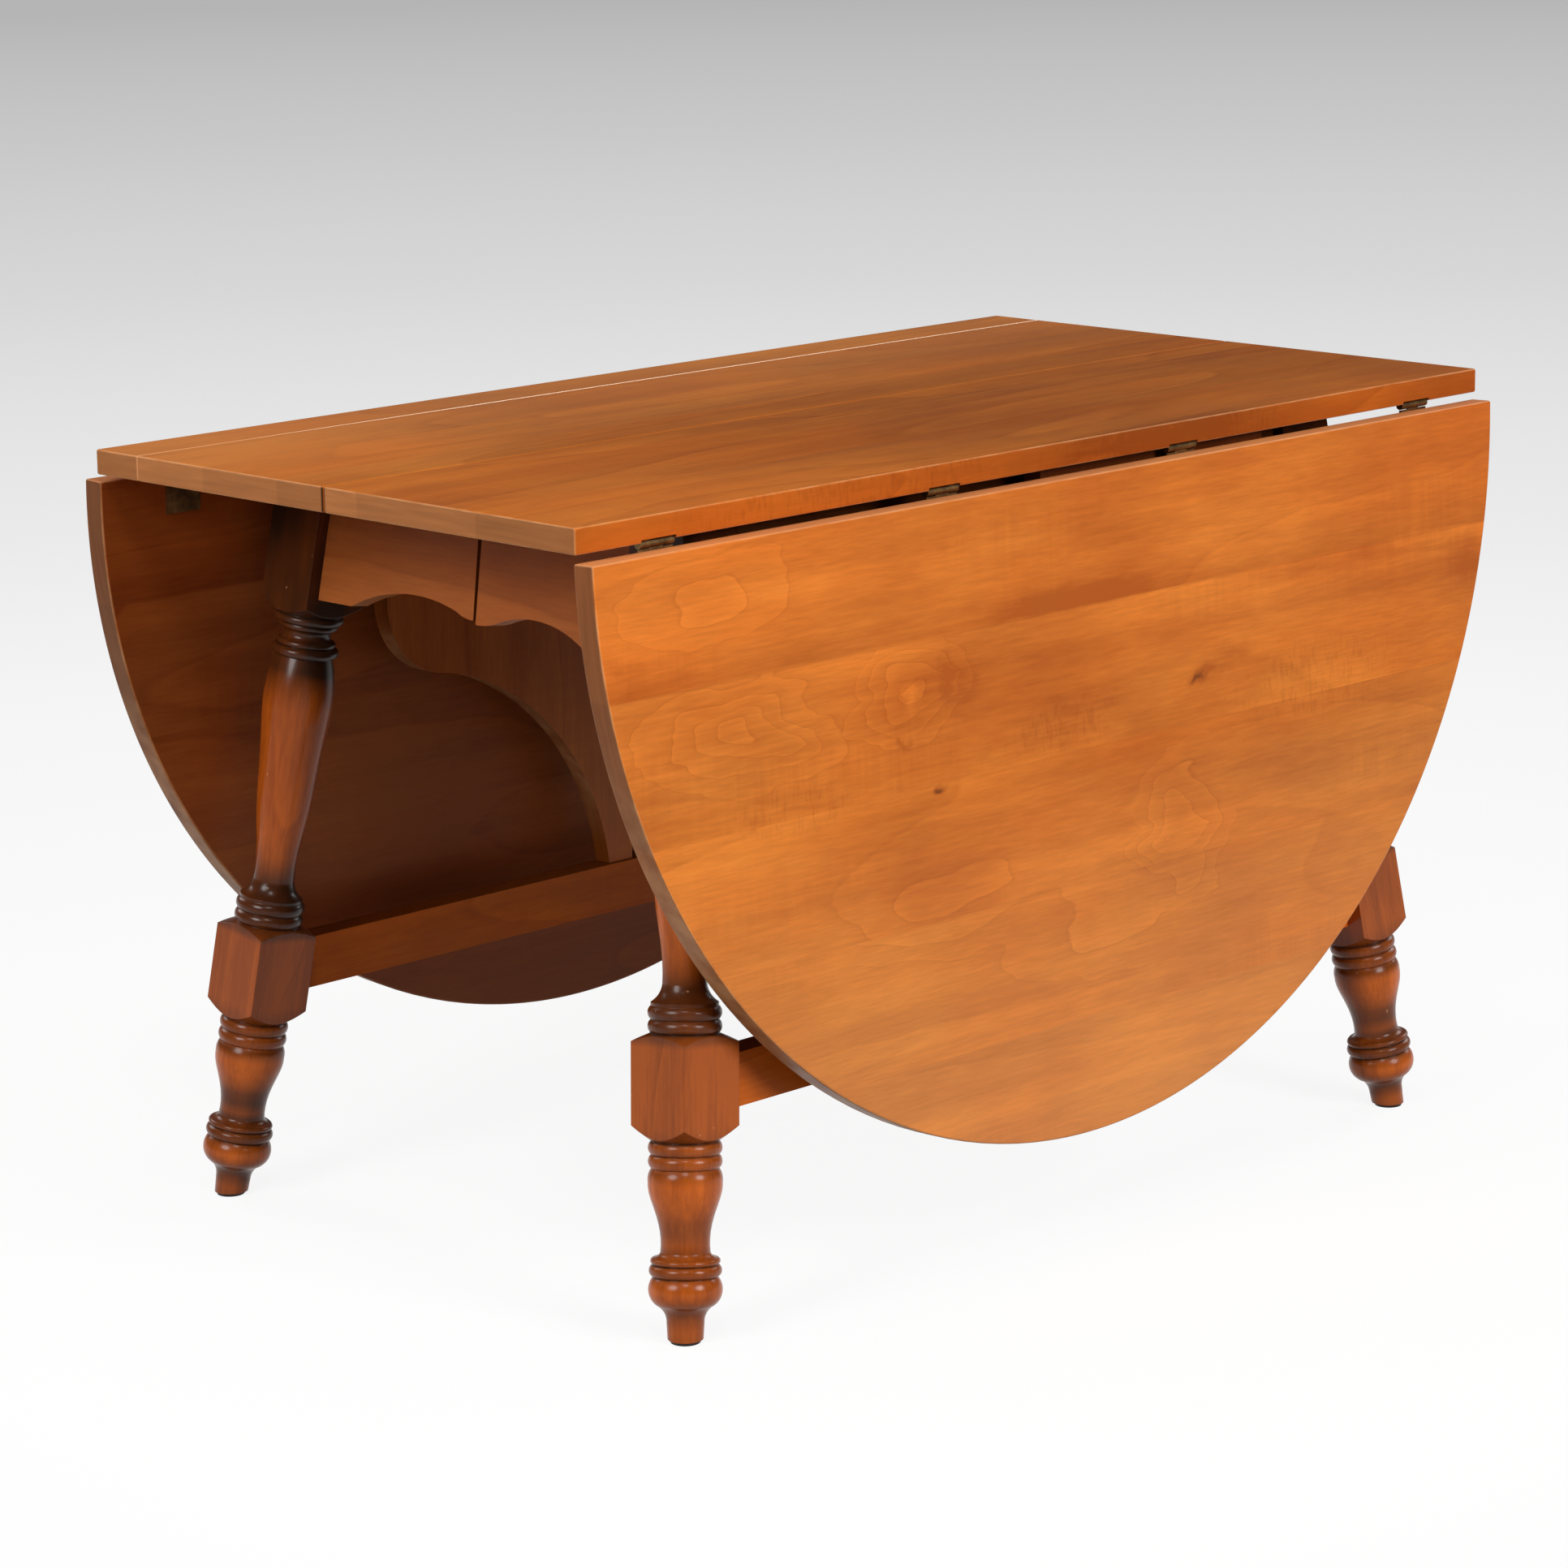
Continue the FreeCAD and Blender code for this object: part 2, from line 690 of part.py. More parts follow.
def top_flap():
    """The flap under the top, with the two outer knuckles."""
    plate = box(
        "top_plate",
        ("hinge_width", "top_flap_length", "flap_thickness"),
        ("-hinge_width / 2", HINGE_Y, FLAP_Z),
    )
    room = box(
        "top_plate_room",
        ("knuckle_middle + 2 * slide_clearance", f"2 * ({KNUCKLE_ROOM})", "knuckle_diameter"),
        (
            "-knuckle_middle / 2 - slide_clearance",
            f"{HINGE_Y} - knuckle_diameter / 2 - notch_clearance",
            f"{HINGE_Z} - knuckle_diameter / 2",
        ),
    )
    knuckles = [
        rod(f"top_knuckle_{side}", "knuckle_diameter", SIDE_KNUCKLE, (start, HINGE_Y, HINGE_Z), X)
        for side, start in (("a", "-hinge_width / 2"), ("b", f"hinge_width / 2 - ({SIDE_KNUCKLE})"))
    ]
    body = fuse("top_flap_body", cut("top_plate_cut", plate, room), *knuckles)
    return cut("top_flap", body, hinge_bore, top_screws)


def leaf_flap():
    """The longer flap on the leaf, with the middle knuckle."""
    plate = box(
        "leaf_plate",
        ("hinge_width", "leaf_flap_length", "flap_thickness"),
        ("-hinge_width / 2", f"{HINGE_Y} - leaf_flap_length", FLAP_Z),
    )
    rooms = [
        box(
            f"leaf_plate_room_{side}",
            ("hinge_width / 2", f"2 * ({KNUCKLE_ROOM})", "knuckle_diameter"),
            (
                start,
                f"{HINGE_Y} - knuckle_diameter / 2 - notch_clearance",
                f"{HINGE_Z} - knuckle_diameter / 2",
            ),
        )
        for side, start in (("a", "-knuckle_middle / 2 - hinge_width / 2"), ("b", "knuckle_middle / 2"))
    ]
    start = ("-knuckle_middle / 2", HINGE_Y, HINGE_Z)
    knuckle = rod("leaf_knuckle", "knuckle_diameter", "knuckle_middle", start, X)
    body = fuse("leaf_flap_body", cut("leaf_plate_cut", plate, *rooms), knuckle)
    return cut("leaf_flap", body, hinge_bore, leaf_screws)


def along_hinges(name, feature):
    """A feature of one hinge repeated at each hinge of a leaf."""
    return group(name, [copy_at(feature, x) for x in hinge_places])


top_screws = flap_screws("top_screws", "top_flap_length", 1)
leaf_screws = flap_screws("leaf_screws", "leaf_flap_length", -1)
hinge_top_flaps = along_hinges("hinge_top_flaps", top_flap())
hinge_leaf_flaps = along_hinges("hinge_leaf_flaps", leaf_flap())
hinge_pins = along_hinges("hinge_pins", hinge_pin)
top_flap_screws = along_hinges("top_flap_screws", top_screws)
leaf_flap_screws = along_hinges("leaf_flap_screws", leaf_screws)
hinge_notch = box(
    "hinge_notch",
    (
        "hinge_width + 2 * notch_clearance",
        f"hinge_inset + {KNUCKLE_ROOM} + top_round",
        "knuckle_diameter / 2 - hinge_drop + notch_clearance",
    ),
    ("-hinge_width / 2 - notch_clearance", "-top_width / 2 - top_round", UNDERSIDE),
)
hinge_notches = along_hinges("hinge_notches", hinge_notch)

# Extension slides: a grooved rail on each half and a tongued rail between them
PITCH = "(slide_width + slide_gap)"
SLIDE_TOP = f"{UNDERSIDE} - slide_gap"
SLIDE_LOW = f"{UNDERSIDE} - slide_gap - slide_height"
TONGUE_LOW = f"{SLIDE_LOW} + slide_height / 2 - tongue_height / 2"
SLIDE_SCREW_LENGTH = "slide_height + slide_gap + slide_screw_grip"
slide_screw = screw("slide_screw", "slide_screw_diameter", "slide_screw_head", SLIDE_SCREW_LENGTH)


def slide_rail_screws(name, sign):
    """Two screws that hold one rail up to its half of the top."""
    x = sign * dim("slide_spread") - dim("slide_width") - dim("slide_gap") - dim("slide_width") / 6
    low = underside - dim("slide_gap") - dim("slide_height")
    length = dim("slide_length")
    return group(name, [copy_at(slide_screw, x, -length * share, low) for share in (0.12, 0.42)])


def half_rail(name, sign, screws):
    """A rail of the near half: grooved on the side of the middle rail, padded up to the top."""
    centre = f"({sign} * slide_spread - {PITCH})"
    rail = box(
        f"{name}_bar",
        ("slide_width", "slide_length", "slide_height"),
        (f"{centre} - slide_width / 2", "-slide_length / 2", SLIDE_LOW),
    )
    pad = box(
        f"{name}_pad",
        ("slide_width", "slide_length / 2 - dowel_length", "2 * slide_gap"),
        (f"{centre} - slide_width / 2", "-slide_length / 2", f"{SLIDE_TOP} - slide_gap"),
    )
    groove = box(
        f"{name}_groove",
        ("tongue_depth + slide_gap", "2 * slide_length", "tongue_height"),
        (f"{centre} + slide_width / 2 - tongue_depth", "-slide_length", TONGUE_LOW),
    )
    return cut(name, fuse(f"{name}_body", rail, pad), groove, screws)


def middle_rail(name, sign):
    """The rail between the two halves, with a tongue on each side."""
    bar = box(
        f"{name}_bar",
        ("slide_width", "slide_length", "slide_height"),
        (f"{sign} * slide_spread - slide_width / 2", "-slide_length / 2", SLIDE_LOW),
    )
    tongues = box(
        f"{name}_tongues",
        (
            "slide_width + 2 * (tongue_depth + slide_gap - slide_clearance)",
            "slide_length",
            "tongue_height - 2 * slide_clearance",
        ),
        (
            f"{sign} * slide_spread - slide_width / 2 - tongue_depth - slide_gap + slide_clearance",
            "-slide_length / 2",
            f"{TONGUE_LOW} + slide_clearance",
        ),
    )
    return fuse(name, bar, tongues)


left_rail_screws = slide_rail_screws("left_rail_screws", -1)
right_rail_screws = slide_rail_screws("right_rail_screws", 1)
rail_screws = group("rail_screws", [left_rail_screws, right_rail_screws])
left_rail = half_rail("left_rail", -1, left_rail_screws)
right_rail = half_rail("right_rail", 1, right_rail_screws)

# Alignment dowels stand in the near half and slip into the far half
dowel_outer_x = dim("top_length") / 2 - dim("dowel_end_inset")
dowel_places = [dowel_outer_x, dim("dowel_inner_x"), -dim("dowel_inner_x"), -dowel_outer_x]
DOWEL_Z = "top_height - top_thickness / 2"
dowel = rod("dowel", "dowel_diameter", "dowel_length", ("0", "dowel_reach - dowel_length", DOWEL_Z), Y)
dowel_hole = rod(
    "dowel_hole",
    "dowel_diameter + 2 * pin_clearance",
    "dowel_length - dowel_reach + hole_spare + split_gap",
    ("0", "dowel_reach - dowel_length - hole_spare", DOWEL_Z),
    Y,
)
dowels = group("dowels", [copy_at(dowel, x) for x in dowel_places])
dowel_holes = group("dowel_holes", [copy_at(dowel_hole, x) for x in dowel_places])
top_cuts = [hinge_notches, upper_pin_hole, top_flap_screws, block_screws, rail_screws, dowel_holes]


def top_board(name, width, low_y):
    """A board of one half of the top with eased arrises and its fixing holes."""
    size, corner = ("top_length", width, "top_thickness"), ("-top_length / 2", low_y, UNDERSIDE)
    board = box(f"{name}_blank", size, corner)
    return cut(name, rounded(f"{name}_eased", board), *top_cuts)


near_top = top_board("near_top", "top_width / 2 - split_gap / 2", "-top_width / 2")
far_top = top_board(
    "far_top", "top_width / 2 - split_gap / 2 - edge_board_width", "edge_board_width - top_width / 2"
)
far_edge = top_board("far_edge", "edge_board_width", "-top_width / 2")


def quarter_oval(corner, along, out):
    """A quarter of an ellipse from the point along to the point out, with the corner of its box."""
    oval = Part.BezierCurve()
    oval.setPoles([along, corner, out])
    oval.setWeight(2, math.sqrt(0.5))
    return oval.toShape()


def leaf_board():
    """A half-oval leaf, raised level with the top."""
    half, butt = dim("leaf_length") / 2, -dim("top_width") / 2 - dim("leaf_gap")
    tip = butt - dim("leaf_depth")

    def spot(x, y):
        return FreeCAD.Vector(x, y, underside)

    face = outline(
        "leaf_outline",
        [
            line(spot(-half, butt), spot(half, butt)),
            quarter_oval(spot(half, tip), spot(half, butt), spot(0, tip)),
            quarter_oval(spot(-half, tip), spot(0, tip), spot(-half, butt)),
        ],
    )
    board = extruded("leaf_plain", face, Z, "top_thickness")
    return cut("leaf_bored", rounded("leaf_eased", board), leaf_flap_screws)


leaf = leaf_board()


def hung(angle_alias):
    """The placement that lets a raised leaf swing down on its hinges to its hanging angle."""
    pivot = FreeCAD.Vector(0, dim("hinge_inset") - dim("top_width") / 2, underside - dim("hinge_drop"))
    return FreeCAD.Placement(FreeCAD.Vector(), FreeCAD.Rotation(X, 90 - dim(angle_alias)), pivot)


# Finished sub-parts: both halves are the same assembly, and the far one is turned half round
node("near_top_panel", near_top, AS_BUILT)
node("far_top_panel", far_top, HALF_TURN)
node("far_edge_board", far_edge, HALF_TURN)
node("alignment_dowels", dowels, AS_BUILT)
for half, turn, left, right in (("near", AS_BUILT, "left", "right"), ("far", HALF_TURN, "right", "left")):
    swing = turn.multiply(hung(f"{half}_hang"))
    node(f"{half}_{left}_leg", leg_left, turn)
    node(f"{half}_{right}_leg", leg_right, turn)
    node(f"{half}_foot_glides", glides, turn)
    node(f"{half}_{left}_end_apron", end_aprons[half], turn)
    node(f"{half}_{right}_end_apron", mirrored(f"{half}_end_apron_right", end_aprons[half]), turn)
    node(f"{half}_side_apron", side_apron, turn)
    node(f"{half}_stretcher", stretcher, turn)
    node(f"{half}_corner_blocks", corner_blocks, turn)
    node(f"{half}_block_screws", block_screws, turn)
    node(f"{half}_{left}_slide_rail", left_rail, turn)
    node(f"{half}_{right}_slide_rail", right_rail, turn)
    node(f"{half}_slide_screws", rail_screws, turn)
    node(f"{half}_hinge_top_flaps", hinge_top_flaps, turn)
    node(f"{half}_hinge_pins", hinge_pins, turn)
    node(f"{half}_top_flap_screws", top_flap_screws, turn)
    node(f"{half}_leaf", leaf, swing)
    node(f"{half}_hinge_leaf_flaps", hinge_leaf_flaps, swing)
    node(f"{half}_leaf_flap_screws", leaf_flap_screws, swing)
    node(f"{half}_wing", wing, turn)
    node(f"{half}_wing_pins", wing_pins, turn)
node("left_middle_rail", middle_rail("left_middle", -1), AS_BUILT)
node("right_middle_rail", middle_rail("right_middle", 1), AS_BUILT)

doc.recompute()
failed = [item.Name for item in doc.Objects if {"Invalid", "Error"} & set(item.State)]
if failed:
    raise RuntimeError(f"features that failed: {failed}")
for label, part in NODES.items():
    if part.Shape.isNull() or not part.Shape.isValid() or not part.Shape.Solids:
        raise RuntimeError(f"{label} has no valid solid")

os.makedirs("parts", exist_ok=True)
for label, part in NODES.items():
    part.Shape.exportStep(f"parts/{label}.step")
    print(f"{label}: {len(part.Shape.Solids)} solid(s), {part.Shape.Volume / 1000:.1f} cm3")
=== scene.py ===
import json
import math

import bpy
from bpy.props import FloatProperty, FloatVectorProperty, PointerProperty
from mathutils import Matrix, Vector


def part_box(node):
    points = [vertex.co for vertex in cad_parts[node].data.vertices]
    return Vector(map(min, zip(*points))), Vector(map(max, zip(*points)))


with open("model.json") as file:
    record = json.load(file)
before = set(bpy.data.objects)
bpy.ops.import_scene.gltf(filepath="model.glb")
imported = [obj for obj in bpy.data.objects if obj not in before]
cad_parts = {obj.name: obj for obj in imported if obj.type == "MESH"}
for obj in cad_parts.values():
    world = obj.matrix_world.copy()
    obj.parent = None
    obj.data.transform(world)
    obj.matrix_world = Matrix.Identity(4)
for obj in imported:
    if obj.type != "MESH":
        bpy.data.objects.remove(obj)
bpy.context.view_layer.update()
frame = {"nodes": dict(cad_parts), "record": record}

bl_info = {
    "name": "Drop-Leaf Table",
    "version": (1, 0, 0),
    "blender": (4, 5, 0),
    "location": "View3D > Sidebar > Table",
    "description": "Finishes a drop-leaf extension table in stained maple and sets it in a plain studio",
    "category": "Object",
}

SIDES = ("left", "right")
HALVES = ("near", "far")
# The way each half looks, across the table
OUTWARD = {"near": -1.0, "far": 1.0}


def colour(name, description, default):
    """A colour that a user may change."""
    return FloatVectorProperty(
        name=name, description=description, subtype="COLOR", size=3, min=0.0, max=1.0, default=default
    )


def length(name, description, default):
    """A length in metres that a user may change."""
    return FloatProperty(
        name=name, description=description, subtype="DISTANCE", unit="LENGTH", default=default
    )


def angle(name, description, default):
    """An angle, given in degrees, that a user may change."""
    return FloatProperty(name=name, description=description, subtype="ANGLE", default=math.radians(default))


def share(name, description, default):
    """A share from nothing to all that a user may change."""
    return FloatProperty(
        name=name, description=description, subtype="FACTOR", min=0.0, max=1.0, default=default
    )


def power(name, description, default):
    """A lamp's power in watts that a user may change."""
    return FloatProperty(name=name, description=description, unit="POWER", default=default)


class TableStain(bpy.types.PropertyGroup):
    """Colours of the stained wood, its glaze and the metal."""

    leaf_light: colour("Leaf light", "Pale wood of the leaves", (0.80, 0.252, 0.037))
    leaf_dark: colour("Leaf dark", "Dark streaks of the leaves", (0.42, 0.107, 0.014))
    top_light: colour("Top light", "Pale wood of the top", (0.575, 0.175, 0.0245))
    top_dark: colour("Top dark", "Dark streaks of the top", (0.262, 0.068, 0.009))
    end_grain: colour("End grain", "Sawn ends of the top and the leaves", (0.40, 0.150, 0.050))
    edge: colour("Top edge", "Red stain over the long edges of the top", (1.0, 0.80, 0.60))
    leg_light: colour("Leg light", "Swells of the turned legs", (0.56, 0.116, 0.010))
    leg_dark: colour("Leg dark", "Grain of the turned legs", (0.33, 0.063, 0.005))
    blush: colour("Blush", "Red clouds in the stain", (1.0, 0.86, 0.72))
    glue: colour("Glue line", "Pale joint of the edge board", (1.0, 0.74, 0.55))
    glaze: colour("Glaze", "Dark glaze in the turned hollows", (0.027, 0.0095, 0.004))
    base_light: colour("Base light", "Pale wood of aprons, stretchers and wings", (0.44, 0.124, 0.017))
    base_dark: colour("Base dark", "Dark wood of aprons, stretchers and wings", (0.25, 0.060, 0.008))
    bare_light: colour("Bare light", "Unstained wood of the slides and blocks", (0.62, 0.42, 0.23))
    bare_dark: colour("Bare dark", "Grain of the unstained wood", (0.40, 0.24, 0.11))
    # Darker stain over the leaves' inner faces and the wings' outer faces, partly painted shade
    back: colour("Leaf back", "Dark stain over the inner faces of the leaves", (0.47, 0.39, 0.50))
    # Pale wood of rubbed edges, also used for painted sheen on the leaves and the top and a painted highlight
    # on the leaves' upper edges
    wear_and_sheen: colour("Worn wood", "Pale wood of worn edges", (0.78, 0.42, 0.20))
    brass: colour("Brass", "Rubbed brass of the hinges", (0.30, 0.18, 0.07))
    tarnish: colour("Tarnish", "Dull brass in the hollows", (0.12, 0.075, 0.035))
    steel: colour("Steel", "Screws and pivot pins", (0.40, 0.37, 0.33))
    glide: colour("Glide", "Pads under the feet", (0.02, 0.015, 0.012))


class TableWear(bpy.types.PropertyGroup):
    """How strongly the grain and the wear show."""

    figure: share("Figure", "Strength of the growth-ring figure", 0.46)
    fibre: share("Fibre", "Strength of the fine streaks along the grain", 0.18)
    streak: share("Streak", "Strength of the broad streaks along the grain", 0.24)
    mottle: share("Mottle", "Strength of the blotches in the stain", 0.42)
    curl: share("Curl", "Strength of the faint bars across the grain", 0.10)
    edge_wear: share("Edge wear", "How pale the rubbed edges are", 0.32)
    gloss: share("Gloss", "Roughness of the varnish on the base", 0.36)
    leaf_gloss: share("Leaf gloss", "Roughness of the varnish on the leaves", 0.42)
    top_gloss: share("Top gloss", "Roughness of the varnish on the top", 0.48)
    leg_gloss: share("Leg gloss", "Roughness of the varnish on the legs", 0.27)


class TableStudio(bpy.types.PropertyGroup):
    """Camera, lamps and floor."""

    camera_place: FloatVectorProperty(
        name="Camera place", description="Where the camera stands", subtype="XYZ", unit="LENGTH",
        size=3, default=(-3.3504, -3.3383, 1.4515),
    )
    azimuth: angle("Azimuth", "Turn of the camera about the table", -44.686)
    elevation: angle("Elevation", "Height of the camera's view above level", 12.8275)
    roll: angle("Roll", "Tilt of the camera about its view", -0.8256)
    lens: FloatProperty(name="Lens", description="Focal length in millimetres", default=112.829)
    floor_radius: length("Floor radius", "How far the floor reaches", 40.0)
    floor_near: colour("Floor near", "Floor under the table", (1.0, 1.0, 1.0))
    floor_far: colour("Floor far", "Floor far behind the table", (0.46, 0.46, 0.46))
    key_power: power("Key power", "Front lamp", 172.0)
    corner_power: power("Corner power", "Lamp at the front left", 40.0)
    fill_power: power("Fill power", "Side lamp", 126.0)
    back_power: power("Back power", "Each lamp behind", 60.0)
    sky: FloatProperty(name="Sky", description="Even light from all round", default=0.11)


def colour4(value):
    """A colour for a socket, or the socket itself."""
    return value if isinstance(value, bpy.types.NodeSocket) else (*tuple(value)[:3], 1.0)


def scaled(tone, factor):
    """A colour times a number, or times one number each for red, green and blue."""
    factors = (factor,) * 3 if isinstance(factor, float) else factor
    return [part * k for part, k in zip(tone, factors)]


class Finish:
    """The node tree of one surface finish."""

    COAT_ROUGHNESS = 0.1
    # Ovals on a board reach right through it
    THROUGH = 1000.0

    def __init__(self, name):
        self.material = bpy.data.materials.new(name)
        self.material.use_nodes = True
        self.tree = self.material.node_tree
        self.tree.nodes.clear()
        self.shader = self.add("ShaderNodeBsdfPrincipled")
        self.output = self.add("ShaderNodeOutputMaterial", {"Surface": self.shader.outputs["BSDF"]})
        self.output.is_active_output = True
        places = self.add("ShaderNodeTexCoord")
        self.place = places.outputs["Object"]
        self.normal = places.outputs["Normal"]

    def feed(self, socket, value):
        if isinstance(value, bpy.types.NodeSocket):
            self.tree.links.new(value, socket)
        else:
            socket.default_value = value

    def add(self, kind, inputs=None, **settings):
        node = self.tree.nodes.new(kind)
        for key, value in settings.items():
            setattr(node, key, value)
        for key, value in (inputs or {}).items():
            self.feed(node.inputs[key], value)
        return node

    def math(self, operation, *values, clamp=False):
        inputs = dict(enumerate(values))
        return self.add("ShaderNodeMath", inputs, operation=operation, use_clamp=clamp).outputs[0]

    def moved(self, vector, location=(0, 0, 0), rotation=(0, 0, 0), scale=(1, 1, 1), kind="POINT"):
        inputs = {"Vector": vector, "Location": location, "Rotation": rotation, "Scale": scale}
        return self.add("ShaderNodeMapping", inputs, vector_type=kind).outputs[0]

    def vector(self, operation, *values):
        return self.add("ShaderNodeVectorMath", dict(enumerate(values)), operation=operation).outputs[0]

    def parts(self, vector):
        return self.add("ShaderNodeSeparateXYZ", {0: vector}).outputs

    def noise(self, vector, scale=1.0, detail=2.0, roughness=0.5):
        inputs = {"Vector": vector, "Scale": scale, "Detail": detail, "Roughness": roughness}
        return self.add("ShaderNodeTexNoise", inputs).outputs[0]

    def shake(self, vector, detail=2.0, roughness=0.5):
        """A vector that wanders about nothing in all three directions."""
        inputs = {"Vector": vector, "Scale": 1.0, "Detail": detail, "Roughness": roughness}
        return self.vector("SUBTRACT", self.add("ShaderNodeTexNoise", inputs).outputs[1], (0.5, 0.5, 0.5))

    def ramp(self, factor, stops, interpolation="LINEAR"):
        node = self.add("ShaderNodeValToRGB", {0: factor})
        bar = node.color_ramp
        bar.interpolation = interpolation
        while len(bar.elements) < len(stops):
            bar.elements.new(0.5)
        for element, (position, value) in zip(bar.elements, stops):
            element.position = position
        for element, (position, value) in zip(bar.elements, stops):
            tone = (value,) * 3 if isinstance(value, (int, float)) else tuple(value)
            element.color = (*tone, 1.0)
        return node.outputs["Color"]

    def profile(self, value, low, high, stops, interpolation="LINEAR"):
        """A ramp over the values from low to high, with its stops given as values too."""
        stops = [((place - low) / (high - low), tone) for place, tone in stops]
        return self.ramp(self.level(value, low, high), stops, interpolation)

    def level(self, value, low, high, out_low=0.0, out_high=1.0, smooth=False):
        """A value brought from one range to another and kept inside it."""
        inputs = {0: value, 1: low, 2: high, 3: out_low, 4: out_high}
        kind = "SMOOTHSTEP" if smooth else "LINEAR"
        return self.add("ShaderNodeMapRange", inputs, interpolation_type=kind, clamp=True).outputs[0]

    def mix(self, factor, under, over, blend="MIX"):
        inputs = {0: factor, 6: colour4(under), 7: colour4(over)}
        return self.add("ShaderNodeMix", inputs, data_type="RGBA", blend_type=blend).outputs[2]

    def times(self, tint, over):
        """A colour seen through a clear coat of another."""
        return self.mix(1.0, tint, over, "MULTIPLY")

    def total(self, start, terms):
        """start plus each term's share of its distance from the middle of its range."""
        result = start - sum(weight * 0.5 for _, weight in terms)
        for value, weight in terms:
            result = self.math("MULTIPLY_ADD", value, weight, result)
        return result

    def blob(self, vector, centre, radii, tilt=0.0):
        """1 at a centre on a board, falling to 0 at an oval of these radii, turned by tilt degrees."""
        turn = (0.0, 0.0, math.radians(tilt))
        place = self.moved(vector, (*centre, 0.0), turn, (*radii, self.THROUGH), "TEXTURE")
        return self.add("ShaderNodeTexGradient", {0: place}, gradient_type="SPHERICAL").outputs[1]

    def varnish(self, tint, roughness, height=None, bump=0.0, distance=0.001, coat=0.0, specular=0.3):
        self.feed(self.shader.inputs["Base Color"], tint)
        self.feed(self.shader.inputs["Roughness"], roughness)
        self.shader.inputs["Specular IOR Level"].default_value = specular
        self.shader.inputs["Coat Weight"].default_value = coat
        self.shader.inputs["Coat Roughness"].default_value = self.COAT_ROUGHNESS
        if height is not None:
            inputs = {"Height": height, "Strength": bump, "Distance": distance}
            self.feed(self.shader.inputs["Normal"], self.add("ShaderNodeBump", inputs).outputs[0])
        return self.material


def cover(material, *nodes):
    """Puts a finish on CAD nodes."""
    for name in nodes:
        mesh = frame["nodes"][name].data
        mesh.materials.clear()
        mesh.materials.append(material)


def grain_turn(along, across, through):
    """The turn that brings these directions of a piece to length, width and thickness."""
    return Matrix((Vector(along), Vector(across), Vector(through))).to_euler()


HUNG_TURN = grain_turn((1, 0, 0), (0, 0, 1), (0, -1, 0))
END_GRAIN_TURN = grain_turn((0, 1, 0), (0, 0, 1), (1, 0, 0))
UPRIGHT_TURN = grain_turn((0, 0, 1), (1, 0, 0), (0, 1, 0))

# Repeats in a metre along the grain, across it and through the board
DRIFT_SCALE = (10.0, 26.0, 26.0)
RING_SCALE = (1.0, 5.0, 5.0)
FIBRE_SCALE = (30.0, 300.0, 300.0)
STREAK_SCALE = (1.3, 38.0, 38.0)
MOTTLE_SCALE = (3.2, 8.0, 8.0)
BAR_SCALE = (120.0, 10.0, 10.0)
CURL_SCALE = (3.0, 9.0, 9.0)
CLOUD_SCALE = (2.6, 7.0, 7.0)
TICK_SCALE = (240.0, 60.0, 60.0)
TORN_SCALE = (70.0, 70.0, 70.0)
SAWN_SCALE = (9.0, 14.0, 260.0)

# How far closed rings, the figure and the rims of ovals wander, in metres
CLOSED_SWAY, FIGURE_SWAY, TORN_SWAY = (0.11, 0.045, 0.0), (0.06, 0.012, 0.0), (0.03, 0.012, 0.0)
CLOUD_SHIFT = (5.0, 3.0, 1.0)

# One growth ring, from its pale start to the dark line at its end
RING_TONES = (
    (0.0, 0.72), (0.10, 0.64), (0.35, 0.54), (0.75, 0.46), (0.90, 0.38), (0.965, 0.14), (1.0, 0.72),
)
BOARD_RINGS, LEG_RINGS = 8.0, 9.0

# A number for each glued board, and how far it moves that board's figure along the grain
BOARD_FIRST, BOARD_STEP, BOARD_SHIFT = 0.13, 0.37, 37.0

# How squarely a face looks one way: where a finish for that face starts, and where it is full
FACE_ON, END_ON, SPLIT_ON, BACK_ON, RIM_ON = (0.6, 0.9), (0.55, 0.85), (0.4, 0.7), (0.5, 0.8), (0.85, 0.6)
ROUNDED = (0.98, 0.88)

# Dark joint and pale glue line of the top: half widths in metres where they end and where they are full
SPLIT_LINE, GLUE_LINE = (0.0035, 0.0014), (0.0017, 0.0010)
# The glue line is faint at the left end and full further in
GLUE_START, GLUE_FULL, GLUE_FAINT = -0.50, -0.20, 0.15

TICK_TONE = -0.14
KNOT_DEPTH = 0.6
# Paleness of the leaves' straight upper edge: partly wear, partly painted highlight
CREST_WEAR_AND_HIGHLIGHT = 0.35


